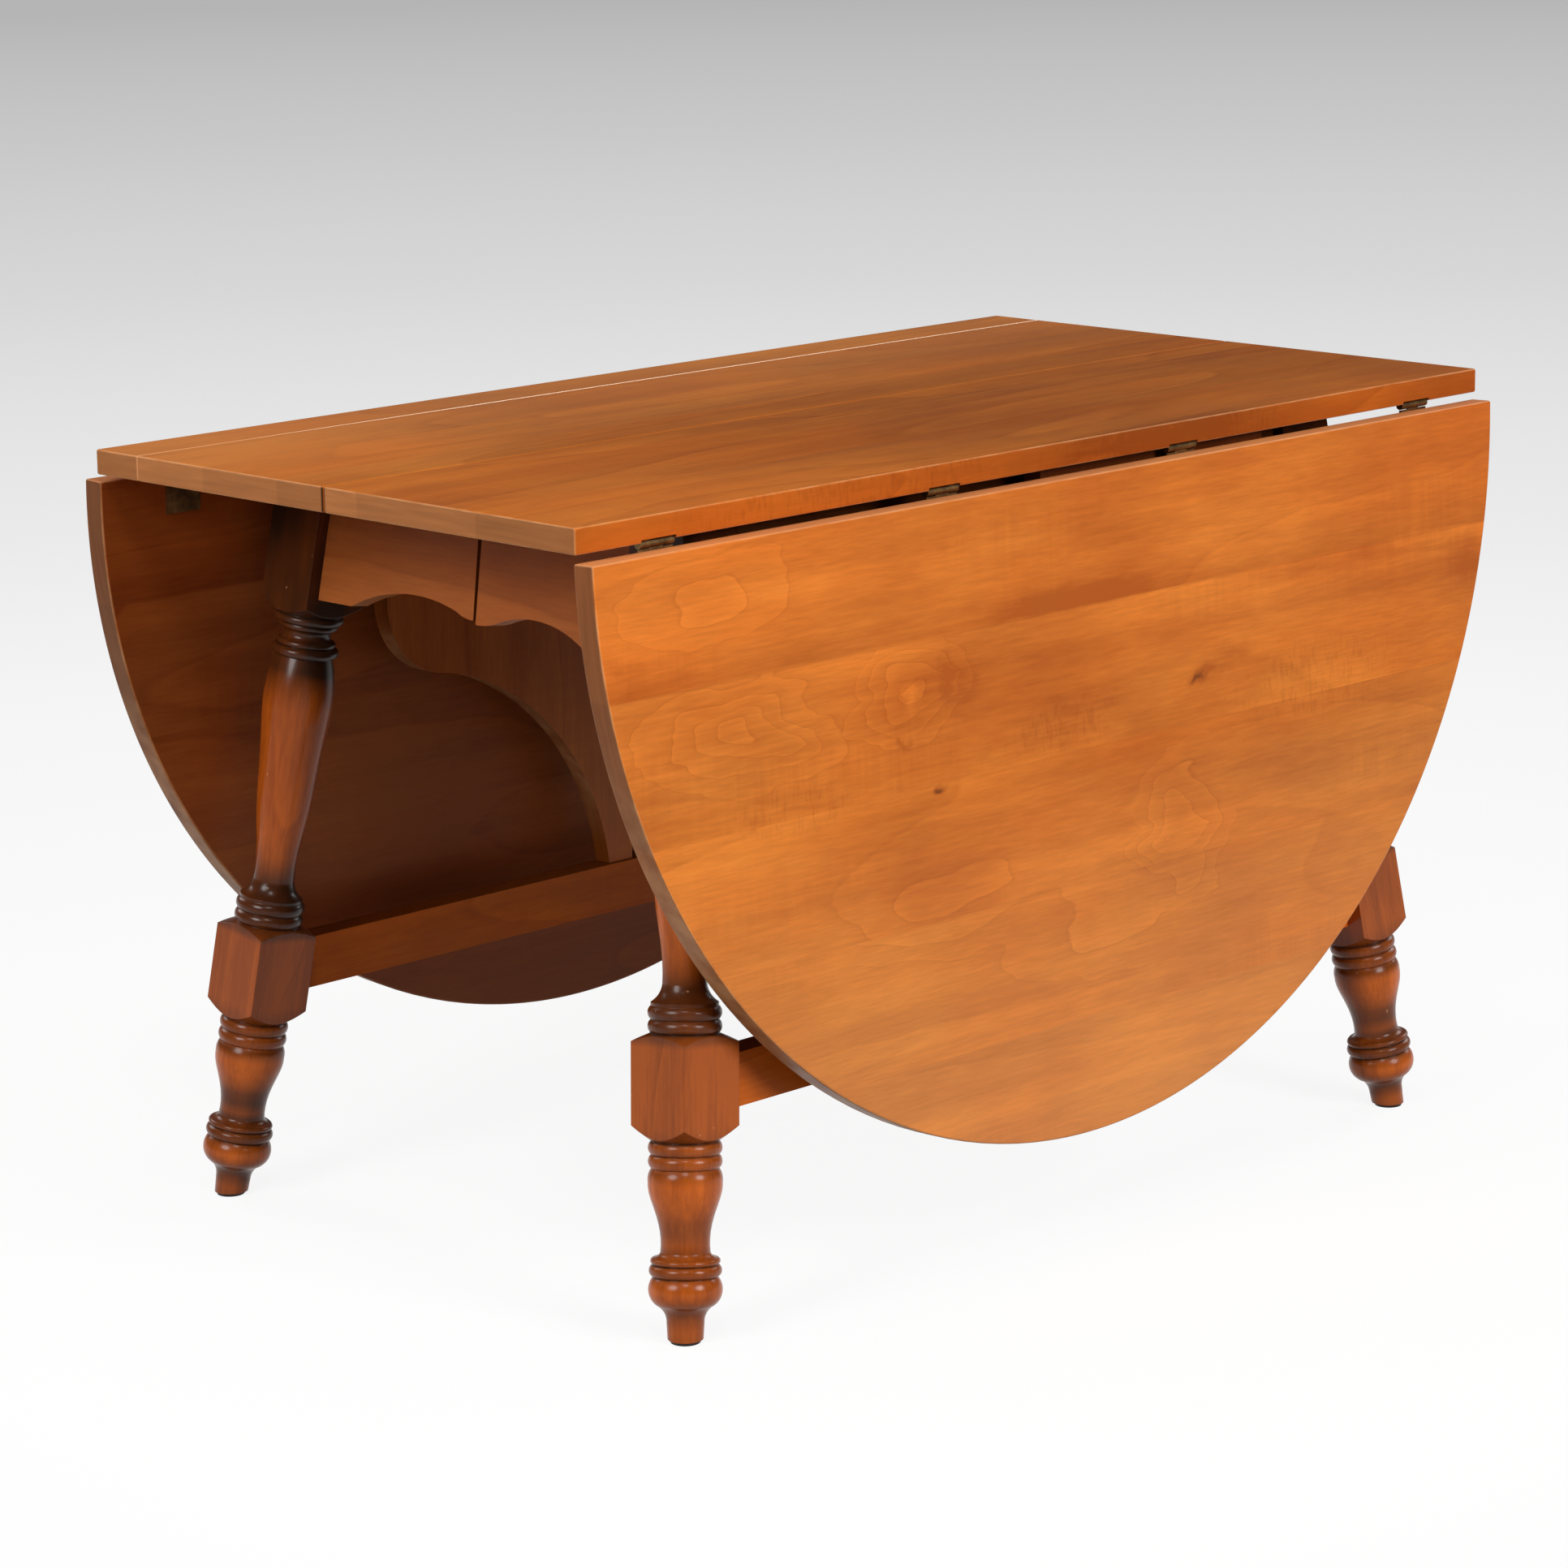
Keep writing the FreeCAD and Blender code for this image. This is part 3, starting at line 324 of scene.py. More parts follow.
def grain_fields(fin, flat, figured, rings, bumps=()):
    """Growth rings, streaks, fibre, blotches and curl of wood with its grain along the first coordinate."""
    drift = fin.shake(fin.moved(flat, scale=DRIFT_SCALE), 2.0, 0.42)
    sway = fin.vector("MULTIPLY_ADD", drift, CLOSED_SWAY, flat)
    wander = fin.vector("MULTIPLY_ADD", drift, FIGURE_SWAY, figured)
    slow = fin.noise(fin.moved(wander, scale=RING_SCALE), detail=1.0, roughness=0.35)
    hill = 0.0
    for centre, radii, height in bumps:
        hill = fin.math("MULTIPLY_ADD", fin.blob(sway, centre, radii), height, hill)
    saw = fin.math("FRACT", fin.math("MULTIPLY", fin.math("ADD", slow, hill), rings))
    ring = fin.ramp(saw, RING_TONES)
    if bumps:
        bold = fin.level(hill, 0.0, 0.10, 0.55, 1.0)
        ring = fin.math("MULTIPLY_ADD", fin.math("SUBTRACT", ring, 0.5), bold, 0.5)

    def spread(scale, detail, roughness, low=0.32, high=0.68):
        cloud = fin.noise(fin.moved(figured, scale=scale), detail=detail, roughness=roughness)
        return fin.level(cloud, low, high)

    bars = spread(BAR_SCALE, 2.0, 0.5)
    patch = spread(CURL_SCALE, 1.0, 0.5, 0.54, 0.68)
    return {
        "figure": ring,
        "fibre": spread(FIBRE_SCALE, 3.0, 0.6),
        "streak": spread(STREAK_SCALE, 4.0, 0.6),
        "mottle": spread(MOTTLE_SCALE, 3.0, 0.55),
        "curl": fin.math("MULTIPLY_ADD", fin.math("SUBTRACT", bars, 0.5), patch, 0.5),
    }


def arris(fin, normal):
    """1 on rounded edges between square faces."""
    x, y, z = (fin.math("ABSOLUTE", part) for part in fin.parts(normal))
    flattest = fin.math("MAXIMUM", fin.math("MAXIMUM", x, y), z)
    return fin.level(flattest, *ROUNDED)


def stained(fin, tone, light, dark):
    """Colour of stained wood, from dark streaks to pale wood."""
    middle = [(a + b) / 2 * 0.96 for a, b in zip(light, dark)]
    return fin.ramp(tone, [(0.12, tuple(dark)), (0.5, middle), (0.88, tuple(light))])


def own_figures(fin, flat, width, boards):
    """A number for each glued board, and places moved along the grain so that each has its own figure."""
    rows = [(start, (i * BOARD_STEP + BOARD_FIRST) % 1.0) for i, start in enumerate(boards[:-1])]
    board = fin.profile(width, boards[0], boards[-1], rows, "CONSTANT")
    shift = fin.add("ShaderNodeCombineXYZ", {0: fin.math("MULTIPLY", board, BOARD_SHIFT)}).outputs[0]
    return board, fin.vector("ADD", flat, shift)


def marked(fin, tone, flat, torn, spots, flecks):
    """Tone of the wood with paler and darker ovals and zones of short ticks."""
    for centre, radii, tilt, weight in spots:
        oval = fin.level(fin.blob(torn, centre, radii, tilt), 0.0, 0.9, smooth=True)
        tone = fin.math("MULTIPLY_ADD", oval, weight, tone)
    if flecks:
        ticks = fin.level(fin.noise(fin.moved(flat, scale=TICK_SCALE), detail=2.0), 0.5, 0.68)
        zone = 0.0
        for centre, radii in flecks:
            zone = fin.math("MAXIMUM", fin.blob(flat, centre, radii), zone)
        ticks = fin.math("MULTIPLY", ticks, fin.level(zone, 0.0, 0.5))
        tone = fin.math("MULTIPLY_ADD", ticks, TICK_TONE, tone)
    return tone


def flat_wood(
    name, context, tones, turn=(0, 0, 0), offset=(0, 0, 0), boards=(), across=(), bumps=(), spots=(),
    knots=(), flecks=(), flushed=None, painted_sheen=None, glue=None, back=None, back_shade_depth=1.0, upper=1.0,
    rim=False, crest=False, split=False, end_colour=None, calm=1.0, gloss=None, specular=0.2,
):
    """Varnished boards. turn brings the grain to the first coordinate and the width to the second.

    tones are the pale and the dark stain, and offset moves the figure so that pieces differ.
    boards lists where each glued board starts and where the last one ends; across is the tone over the width.
    bumps close the growth rings, spots are paler or darker ovals, knots are dark cores, flecks are ticks.
    flushed gives the widths between which the stain gets redder, and by how much; painted_sheen gives those
    between which it gets paler as painted sheen, and by how much.
    glue is the width where a pale glued joint shows, and split is the dark joint in the middle of the top.
    back is the way the face with darker stain and painted shade looks, and back_shade_depth its depth; upper
    darkens faces that look up with painted shade.
    rim shows sawn wood all round the board, but not on the straight upper edge if there is a crest.
    end_colour is the sawn wood, calm scales the grain, gloss is the roughness, specular the reflections.
    """
    stain, wear = context.scene.table_stain, context.scene.table_wear
    fin = Finish(name)
    flat = fin.moved(fin.place, location=offset, rotation=turn)
    normal = fin.moved(fin.normal, rotation=turn)
    facing = fin.parts(normal)
    along, width = fin.parts(flat)[:2]
    board, figured = own_figures(fin, flat, width, boards) if boards else (None, flat)
    grain = grain_fields(fin, flat, figured, BOARD_RINGS, bumps)
    terms = [(field, getattr(wear, key) * calm) for key, field in grain.items()]
    if across:
        terms.append((fin.profile(width, across[0][0], across[-1][0], across), 1.0))
    torn = None
    if spots or knots:
        torn = fin.vector("MULTIPLY_ADD", fin.shake(fin.moved(flat, scale=TORN_SCALE), 3.0), TORN_SWAY, flat)
    tone = marked(fin, fin.total(0.5, terms), flat, torn, spots, flecks)

    tint = stained(fin, tone, *tones)
    cloud = fin.noise(fin.moved(figured, CLOUD_SHIFT, scale=CLOUD_SCALE), detail=4.0, roughness=0.6)
    tint = fin.mix(fin.level(cloud, 0.36, 0.64), tint, fin.times(tint, stain.blush))
    for centre, radii, tilt in knots:
        core = fin.blob(torn, centre, radii, tilt)
        tint = fin.mix(fin.level(core, 0.1, 0.8, 0.0, KNOT_DEPTH), tint, stain.glaze)
    if flushed:
        start, full, depth = flushed
        tint = fin.mix(fin.level(width, start, full, 0.0, depth), tint, fin.times(tint, stain.blush))
    # Paler wood towards one edge: painted sheen
    if painted_sheen:
        start, full, depth = painted_sheen
        tint = fin.mix(fin.level(width, start, full, 0.0, depth), tint, stain.wear_and_sheen)
    if glue:
        line = fin.level(fin.math("ABSOLUTE", fin.math("SUBTRACT", width, glue)), *GLUE_LINE)
        line = fin.math("MULTIPLY", line, fin.level(along, GLUE_START, GLUE_FULL, GLUE_FAINT, 1.0))
        tint = fin.mix(line, tint, stain.glue)
    # Darker stain with painted shade on the faces that look the back way
    if back:
        inner = fin.level(fin.parts(fin.normal)[1], BACK_ON[0] * back, BACK_ON[1] * back)
        tint = fin.mix(inner, tint, fin.times(tint, scaled(stain.back, back_shade_depth)))
    # Painted shade on faces that look up
    if upper < 1.0:
        tint = fin.mix(fin.level(facing[1], *FACE_ON), tint, fin.times(tint, (upper,) * 3))

    if rim:
        ends = fin.level(fin.math("ABSOLUTE", facing[2]), *RIM_ON)
    else:
        ends = fin.level(fin.math("ABSOLUTE", facing[0]), *END_ON)
    if crest:
        straight = fin.level(facing[1], *FACE_ON)
        ends = fin.math("SUBTRACT", ends, straight, clamp=True)
        # The straight upper edge gets paler: partly wear, partly painted highlight
        tint = fin.mix(fin.math("MULTIPLY", straight, CREST_WEAR_AND_HIGHLIGHT), tint, stain.wear_and_sheen)
    speck = fin.noise(fin.moved(flat, scale=SAWN_SCALE), detail=3.0)
    sawn = end_colour or stain.end_grain
    end_tint = fin.mix(fin.level(speck, 0.3, 0.7), scaled(sawn, 0.78), sawn)
    if boards:
        end_tint = fin.times(end_tint, fin.ramp(board, [(0.0, 0.80), (1.0, 1.12)]))
    tint = fin.mix(ends, tint, end_tint)

    scuff = fin.level(fin.noise(fin.place, scale=38.0, detail=4.0), 0.25, 0.62)
    rub = fin.math("MULTIPLY", fin.math("MULTIPLY", arris(fin, normal), scuff), wear.edge_wear)
    if split:
        joint = fin.level(fin.math("ABSOLUTE", width), *SPLIT_LINE)
        rub = fin.math("MULTIPLY", rub, fin.math("SUBTRACT", 1.0, joint))
        cut = fin.math("MULTIPLY", joint, fin.level(fin.math("ABSOLUTE", facing[0]), *SPLIT_ON))
        tint = fin.mix(cut, tint, stain.glaze)
        edge = fin.level(fin.math("ABSOLUTE", facing[1]), *FACE_ON)
        tint = fin.mix(edge, tint, fin.times(tint, stain.edge))
    tint = fin.mix(rub, tint, stain.wear_and_sheen)
    sheen = fin.math("MULTIPLY_ADD", grain["mottle"], 0.12, (gloss or wear.gloss) - 0.06)
    return fin.varnish(tint, sheen, grain["fibre"], 0.04, 0.0004, specular=specular)


# Where the feet stand, and how far the legs lean along and across the table
FLOOR_MOUNT = next(m for m in frame["record"]["mounts"] if m["name"] == "floor")
FOOT_X, FOOT_Y = abs(FLOOR_MOUNT["pos_m"][0]), abs(FLOOR_MOUNT["pos_m"][1])
SPLAY_X, SPLAY_Y = math.radians(7.31), math.radians(6.30)

# Glaze along a leg: millimetres from the foot, and how much glaze lies there. The heavy glaze on the head,
# from 530 mm up, is partly painted shade under the top
GLAZE_BANDS = (
    (0, 0.5), (10, 0.35), (18, 0.62), (27, 0.75), (35, 0.35), (46, 0.03), (57, 0.5), (62, 0.65),
    (74, 0.6), (82, 0.72), (88, 0.50), (98, 0.70), (108, 0.62), (119, 0.22), (128, 0.0), (142, 0.03),
    (153, 0.7), (160, 0.5), (180, 0.55), (192, 0.36), (198, 0.28), (264, 0.30), (270, 0.7), (280, 0.88),
    (300, 0.9), (316, 0.95), (326, 0.7), (345, 0.3), (370, 0.10), (490, 0.14), (512, 0.5), (530, 0.92),
    (583, 0.85), (720, 0.82),
)
GLAZE_REACH = 750
# The square block and the square head have the same glaze on every leg
BLOCK_START, BLOCK_END, HEAD_START = 198, 264, 530
# Legs whose turned parts have less or more glaze than the others: the far-left leg's deeper glaze is partly
# painted shade, the near-left leg's thinner glaze partly painted light
LEG_GLAZE_AND_SHADE = {"near_left_leg": 0.8, "far_left_leg": 1.15}
LEG_SHARES = {"figure": 0.60, "fibre": 0.36, "streak": 0.75, "mottle": 0.80}
# How far the figure moves from leg to leg, for each metre between their feet
LEG_SHIFT_X, LEG_SHIFT_Y = 9, 7
HOLLOW_REACH, LEG_ROUNDING = 0.010, 0.0012


def leg_bands(depth):
    """Glaze along one leg, deeper or thinner on its turned parts."""
    bands = []
    for height, glaze in GLAZE_BANDS:
        turned = height < BLOCK_START or BLOCK_END < height < HEAD_START
        bands.append((height / GLAZE_REACH, min(1.0, glaze * depth) if turned else glaze))
    return bands


def leg_wood(name, context, foot, axis, depth):
    """Turned wood along its axis from its foot, with glaze of this depth in its hollows."""
    stain, wear = context.scene.table_stain, context.scene.table_wear
    fin = Finish(name)
    turn = axis.to_track_quat("Z", "Y").to_euler()
    local = fin.moved(fin.place, location=foot, rotation=turn, kind="TEXTURE")
    shift = (foot[0] * LEG_SHIFT_X, foot[1] * LEG_SHIFT_Y, 0.0)
    upright = fin.moved(local, location=shift, rotation=(0.0, math.radians(90.0), 0.0))
    grain = grain_fields(fin, upright, upright, LEG_RINGS)
    tone = fin.total(0.55, [(grain[key], weight) for key, weight in LEG_SHARES.items()])
    tint = stained(fin, tone, stain.leg_light, stain.leg_dark)

    # One ramp can't hold all the bands, so the lower and the upper bands have one each
    height = fin.level(fin.parts(local)[2], 0.0, GLAZE_REACH / 1000)
    bands = leg_bands(depth)
    middle = len(bands) // 2
    lower = fin.ramp(height, [*bands[:middle], (bands[middle][0], 0.0)])
    upper = fin.ramp(height, [(bands[middle - 1][0], 0.0), *bands[middle:]])
    glaze = fin.math("MAXIMUM", lower, upper)

    nearby = {"Distance": HOLLOW_REACH}
    open_air = fin.add("ShaderNodeAmbientOcclusion", nearby, samples=6, only_local=True).outputs["AO"]
    hollow = fin.level(open_air, 0.95, 0.55)
    uneven = fin.math("MULTIPLY_ADD", grain["mottle"], 0.6, 0.7)
    deep = fin.math("MULTIPLY", fin.math("MAXIMUM", glaze, hollow), uneven, clamp=True)
    tint = fin.mix(deep, tint, stain.glaze)
    nick = fin.level(fin.noise(fin.place, scale=130.0, detail=1.0), 0.79, 0.805, 0.0, 0.3)
    tint = fin.mix(nick, tint, stain.wear_and_sheen)
    soft = fin.add("ShaderNodeBevel", {"Radius": LEG_ROUNDING}, samples=4)
    fin.feed(fin.shader.inputs["Normal"], soft.outputs[0])
    gloss = fin.math("MULTIPLY_ADD", grain["mottle"], 0.1, wear.leg_gloss - 0.05)
    return fin.varnish(tint, gloss, coat=0.1, specular=0.18)


def metal(name, rubbed, dull, roughness, spots):
    """Tarnished metal, brighter where it is rubbed; spots is how many blotches lie in a metre."""
    fin = Finish(name)
    cloud = fin.noise(fin.place, scale=spots, detail=4.0, roughness=0.6)
    tint = fin.mix(fin.level(cloud, 0.35, 0.65), dull, rubbed)
    fin.shader.inputs["Metallic"].default_value = 1.0
    return fin.varnish(tint, fin.math("MULTIPLY_ADD", cloud, 0.3, roughness - 0.15), cloud, 0.1, 0.0003)


# Marks on the top. Boards, tones, painted sheen and glue lie over its width; ovals have a centre and two
# radii
TOP_MARKS = {
    "boards": (-0.33, -0.205, -0.048, 0.0, 0.062, 0.17, 0.2675, 0.33),
    "across": (
        (-0.33, 0.58), (-0.21, 0.58), (-0.20, 0.52), (-0.10, 0.52), (-0.09, 0.50), (-0.002, 0.50),
        (0.002, 0.47), (0.06, 0.46), (0.065, 0.53), (0.17, 0.55), (0.26, 0.60), (0.27, 0.58), (0.33, 0.60),
    ),
    "spots": (
        ((0.05, -0.03), (0.55, 0.17), 0.0, -0.08), ((-0.55, 0.12), (0.34, 0.40), 0.0, 0.28),
        ((0.0, 0.045), (0.5, 0.03), 0.0, -0.06), ((0.30, -0.24), (0.22, 0.06), 0.0, -0.10),
        ((0.0, -0.22), (0.42, 0.26), 0.0, -0.20), ((-0.50, -0.30), (0.30, 0.22), 0.0, 0.20),
        ((0.52, -0.17), (0.34, 0.28), 0.0, -0.20), ((-0.08, 0.16), (0.42, 0.16), 0.0, 0.08),
        ((0.16, -0.33), (0.26, 0.03), 0.0, -0.30), ((0.55, 0.10), (0.30, 0.12), 0.0, -0.18),
    ),
    "flecks": (((-0.30, -0.33), (0.25, 0.012)), ((0.15, -0.33), (0.20, 0.012))),
    # The top gets paler towards its far edge: painted sheen
    "painted_sheen": (0.0, 0.32, 0.14),
    "glue": 0.2677,
}

# Boards and tones of both leaves, over their height as they hang
LEAF_MARKS = {
    "boards": (0.08, 0.205, 0.335, 0.463, 0.597, 0.73),
    "across": (
        (0.08, 0.60), (0.20, 0.58), (0.21, 0.52), (0.33, 0.54), (0.338, 0.49), (0.44, 0.50), (0.461, 0.54),
        (0.464, 0.44), (0.56, 0.48), (0.590, 0.60), (0.5965, 0.62), (0.5985, 0.34), (0.625, 0.44),
        (0.65, 0.52), (0.73, 0.54),
    ),
    # The leaves get paler towards their lower edge: painted reflection of the floor
    "painted_sheen": (0.45, 0.12, 0.20),
    "flushed": (0.42, 0.70, 0.75),
}

# Figure of the near leaf: closed rings, paler and darker ovals, two knots and three zones of ticks
NEAR_LEAF_MARKS = {
    "bumps": (
        ((-0.464, 0.551), (0.125, 0.056), 0.52), ((-0.38, 0.527), (0.085, 0.03), 0.2),
        ((-0.238, 0.549), (0.085, 0.062), 0.5), ((-0.477, 0.667), (0.12, 0.045), 0.26),
        ((0.125, 0.362), (0.075, 0.085), 0.42), ((-0.22, 0.345), (0.13, 0.05), 0.2),
        ((0.02, 0.29), (0.16, 0.05), 0.18),
    ),
    "spots": (
        ((0.158, 0.508), (0.030, 0.010), 18.0, -0.5), ((0.19, 0.516), (0.07, 0.022), 14.0, -0.26),
        ((-0.205, 0.458), (0.015, 0.007), 10.0, -0.45), ((-0.251, 0.507), (0.016, 0.006), -20.0, -0.3),
        ((-0.03, 0.608), (0.17, 0.018), 0.0, -0.24), ((-0.192, 0.562), (0.016, 0.035), 0.0, -0.22),
        ((-0.168, 0.545), (0.03, 0.045), 0.0, -0.10), ((0.40, 0.61), (0.22, 0.02), 0.0, -0.10),
        ((0.577, 0.561), (0.04, 0.05), 60.0, -0.22), ((-0.238, 0.549), (0.016, 0.020), 0.0, 0.30),
        ((-0.02, 0.53), (0.13, 0.055), 0.0, -0.10), ((0.36, 0.55), (0.12, 0.04), 0.0, 0.08),
        ((-0.08, 0.39), (0.24, 0.09), 0.0, 0.14), ((-0.42, 0.705), (0.30, 0.06), 0.0, 0.14),
        ((-0.02, 0.66), (0.17, 0.10), 0.0, -0.15), ((0.30, 0.52), (0.13, 0.06), 0.0, -0.16),
        ((0.22, 0.665), (0.17, 0.04), 0.0, -0.12), ((-0.47, 0.545), (0.15, 0.05), 0.0, 0.16),
    ),
    "knots": (((0.155, 0.507), (0.013, 0.005), 20.0), ((-0.205, 0.457), (0.006, 0.004), 0.0)),
    "flecks": (
        ((0.33, 0.478), (0.15, 0.05)), ((-0.04, 0.49), (0.09, 0.035)), ((-0.40, 0.47), (0.10, 0.03)),
    ),
}

# The far leaf's figure is moved along the grain, and its one pale oval with it; that oval is painted light
FAR_LEAF_SHIFT = (3.0, 0.0, 0.0)
FAR_LEAF_LIGHT_SPOTS = (((2.79, 0.34), (0.34, 0.14), 0.0, 0.35),)

# Strength of the reflections and of the grain
TOP_SPECULAR, LEAF_SPECULAR, STRETCHER_SPECULAR = 0.06, 0.12, 0.1
TOP_CALM = 0.7

# How far the stain of a piece is from the common one, in red, green and blue or in all three
LEAF_SAWN, FAR_LEAF_SAWN, BASE_SAWN = (0.60, 0.52, 0.46), 0.75, 0.8
END_APRON_TONE, STRETCHER_TONE = (1.08, 1.15, 1.9), (1.34, 1.1, 0.7)
STRETCHER_WARMTH = {"near": 1.4, "far": 1.0}
# The stretchers' faces that look up get painted shade
STRETCHER_TOP_SHADE = 0.3
# The side aprons' dark tone is painted shade behind the leaves, and the wings' back tone is painted shade on
# their outer faces
SIDE_APRON_SHADE, WING_TONE, WING_BACK_SHADE = 0.3, 1.4, 0.45

# How far each kind of board moves its figure along the grain
SIDE_APRON_SHIFT, STRETCHER_SHIFT, WING_SHIFT = (7.0, 0.0, 0.0), (5.0, 0.0, 0.0), 9.0

BRASS_PIECES = (
    "hinge_top_flaps", "hinge_pins", "top_flap_screws", "hinge_leaf_flaps", "leaf_flap_screws",
)
STEEL_PIECES = ("block_screws", "slide_screws", "wing_pins")


class TABLE_OT_finish_top(bpy.types.Operator):
    """Stain the two halves of the top and its edge board"""

    bl_idname = "table.finish_top"
    bl_label = "Finish Top"

    def execute(self, context):
        stain, wear = context.scene.table_stain, context.scene.table_wear
        material = flat_wood(
            "top_maple", context, (stain.top_light, stain.top_dark), split=True, calm=TOP_CALM,
            gloss=wear.top_gloss, specular=TOP_SPECULAR, **TOP_MARKS,
        )
        cover(material, "near_top_panel", "far_top_panel", "far_edge_board")
        return {"FINISHED"}


class TABLE_OT_finish_leaves(bpy.types.Operator):
    """Stain the two hanging leaves"""

    bl_idname = "table.finish_leaves"
    bl_label = "Finish Leaves"

    def execute(self, context):
        stain, wear = context.scene.table_stain, context.scene.table_wear
        tones = (stain.leaf_light, stain.leaf_dark)
        sawn = scaled(stain.end_grain, LEAF_SAWN)
        look = {"rim": True, "crest": True, "gloss": wear.leaf_gloss, "specular": LEAF_SPECULAR, **LEAF_MARKS}
        # Both leaves get darker stain with painted shade on their inner faces
        near = flat_wood(
            "near_leaf_maple", context, tones, HUNG_TURN, back=1.0, end_colour=sawn, **NEAR_LEAF_MARKS, **look
        )
        # The far leaf also gets a pale oval of painted light
        far = flat_wood(
            "far_leaf_maple", context, tones, HUNG_TURN, FAR_LEAF_SHIFT, back=-1.0, spots=FAR_LEAF_LIGHT_SPOTS,
            end_colour=scaled(sawn, FAR_LEAF_SAWN), **look,
        )
        cover(near, "near_leaf")
        cover(far, "far_leaf")
        return {"FINISHED"}


class TABLE_OT_finish_legs(bpy.types.Operator):
    """Stain and glaze the four turned legs"""

    bl_idname = "table.finish_legs"
    bl_label = "Finish Legs"

    def execute(self, context):
        for half in HALVES:
            for side in SIDES:
                node = f"{half}_{side}_leg"
                low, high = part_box(node)
                way = Vector((math.copysign(1, low.x + high.x), math.copysign(1, low.y + high.y), 0.0))
                foot = Vector((way.x * FOOT_X, way.y * FOOT_Y, 0.0))
                axis = Vector((-way.x * math.tan(SPLAY_X), -way.y * math.tan(SPLAY_Y), 1.0))
                cover(leg_wood(f"{node}_maple", context, foot, axis, LEG_GLAZE_AND_SHADE.get(node, 1.0)), node)
        return {"FINISHED"}


class TABLE_OT_finish_base(bpy.types.Operator):
    """Stain the aprons, stretchers and wings, and leave the slides and blocks bare"""

    bl_idname = "table.finish_base"
    bl_label = "Finish Base"

    def execute(self, context):
        stain = context.scene.table_stain
        sawn = scaled(stain.base_dark, BASE_SAWN)

        def tones(factor):
            return scaled(stain.base_light, factor), scaled(stain.base_dark, factor)

        ends = flat_wood("end_apron_maple", context, tones(END_APRON_TONE), END_GRAIN_TURN, end_colour=sawn)
        # The side aprons are darkened with painted shade
        shaded = tones(SIDE_APRON_SHADE)
        hidden = flat_wood(
            "side_apron_maple", context, shaded, HUNG_TURN, SIDE_APRON_SHIFT, end_colour=shaded[1]
        )
        bare = flat_wood("bare_maple", context, (stain.bare_light, stain.bare_dark))
        for half in HALVES:
            warm = scaled(STRETCHER_TONE, STRETCHER_WARMTH[half])
            # Stretchers get painted shade on their upper faces
            rail = flat_wood(
                f"{half}_stretcher_maple", context, tones(warm), HUNG_TURN, STRETCHER_SHIFT, end_colour=sawn,
                upper=STRETCHER_TOP_SHADE, specular=STRETCHER_SPECULAR,
            )
            # Wings get darker stain with painted shade on their outer faces
            wing = flat_wood(
                f"{half}_wing_maple", context, tones(WING_TONE), UPRIGHT_TURN,
                (WING_SHIFT, OUTWARD[half], 0.0), back=OUTWARD[half], back_shade_depth=WING_BACK_SHADE, end_colour=sawn,
                rim=True,
            )
            cover(wing, f"{half}_wing")
            cover(ends, *(f"{half}_{side}_end_apron" for side in SIDES))
            cover(hidden, f"{half}_side_apron")
            cover(rail, f"{half}_stretcher")
            cover(bare, f"{half}_corner_blocks", *(f"{half}_{side}_slide_rail" for side in SIDES))
        cover(bare, "left_middle_rail", "right_middle_rail", "alignment_dowels")
        return {"FINISHED"}


class TABLE_OT_finish_metal(bpy.types.Operator):
    """Give the hinges, screws, pins and glides their metal and plastic"""

    bl_idname = "table.finish_metal"
    bl_label = "Finish Metal"

    def execute(self, context):
        stain = context.scene.table_stain
        brass = metal("old_brass", stain.brass, stain.tarnish, 0.45, 70.0)
        steel = metal("plain_steel", stain.steel, scaled(stain.steel, 0.5), 0.42, 180.0)
        fin = Finish("glide_plastic")
        scratch = fin.noise(fin.place, scale=260.0, detail=3.0)
        tint = fin.mix(scratch, scaled(stain.glide, 0.6), stain.glide)
        glide = fin.varnish(tint, 0.5, scratch, 0.15, 0.0004)
        for half in HALVES:
            cover(brass, *(f"{half}_{piece}" for piece in BRASS_PIECES))
            cover(steel, *(f"{half}_{piece}" for piece in STEEL_PIECES))
            cover(glide, f"{half}_foot_glides")
        return {"FINISHED"}


# Each lamp's name, place, target, size and the setting that holds its power; lengths in metres
LAMPS = (
    ("key_lamp", (0.2, -4.6, 2.6), (0.0, -0.2, 0.4), 2.2, "key_power"),
    ("corner_lamp", (-2.4, -2.4, 4.1), (0.0, 0.0, 0.4), 1.2, "corner_power"),
    ("fill_lamp", (-4.1, -0.3, 2.6), (0.0, 0.0, 0.5), 2.0, "fill_power"),
    ("back_lamp", (-0.8, 4.6, 3.0), (0.0, 0.2, 0.4), 2.4, "back_power"),
    ("side_lamp", (4.4, -0.3, 2.4), (0.0, 0.0, 0.4), 2.4, "back_power"),
)

# Tone of the floor by metres from the middle, between the near tone and the far tone
FLOOR_NEAR_END, FLOOR_FAR_START, FLOOR_REACH = 1.0, 17.4, 20.0
FLOOR_TONES = ((2.0, 0.94), (3.8, 0.83), (7.2, 0.68), (11.0, 0.58))
# Light that the floor throws back on the table, and its tone where the shadow falls
FLOOR_BOUNCE, FLOOR_PAINT = (0.30,) * 3, (0.9,) * 3
# The shadow shows most under the table and ends further out: metres, and how steady the tone is
SHADOW_START, SHADOW_END, SHADOW_STEADY = 0.6, 2.5, 0.88
FLOOR_CORNERS = 128
# Height over which the floor's far tone turns into the sky
SKY_RISE = 0.13
SENSOR_WIDTH = 36.0
VIEW_REACH = 200.0


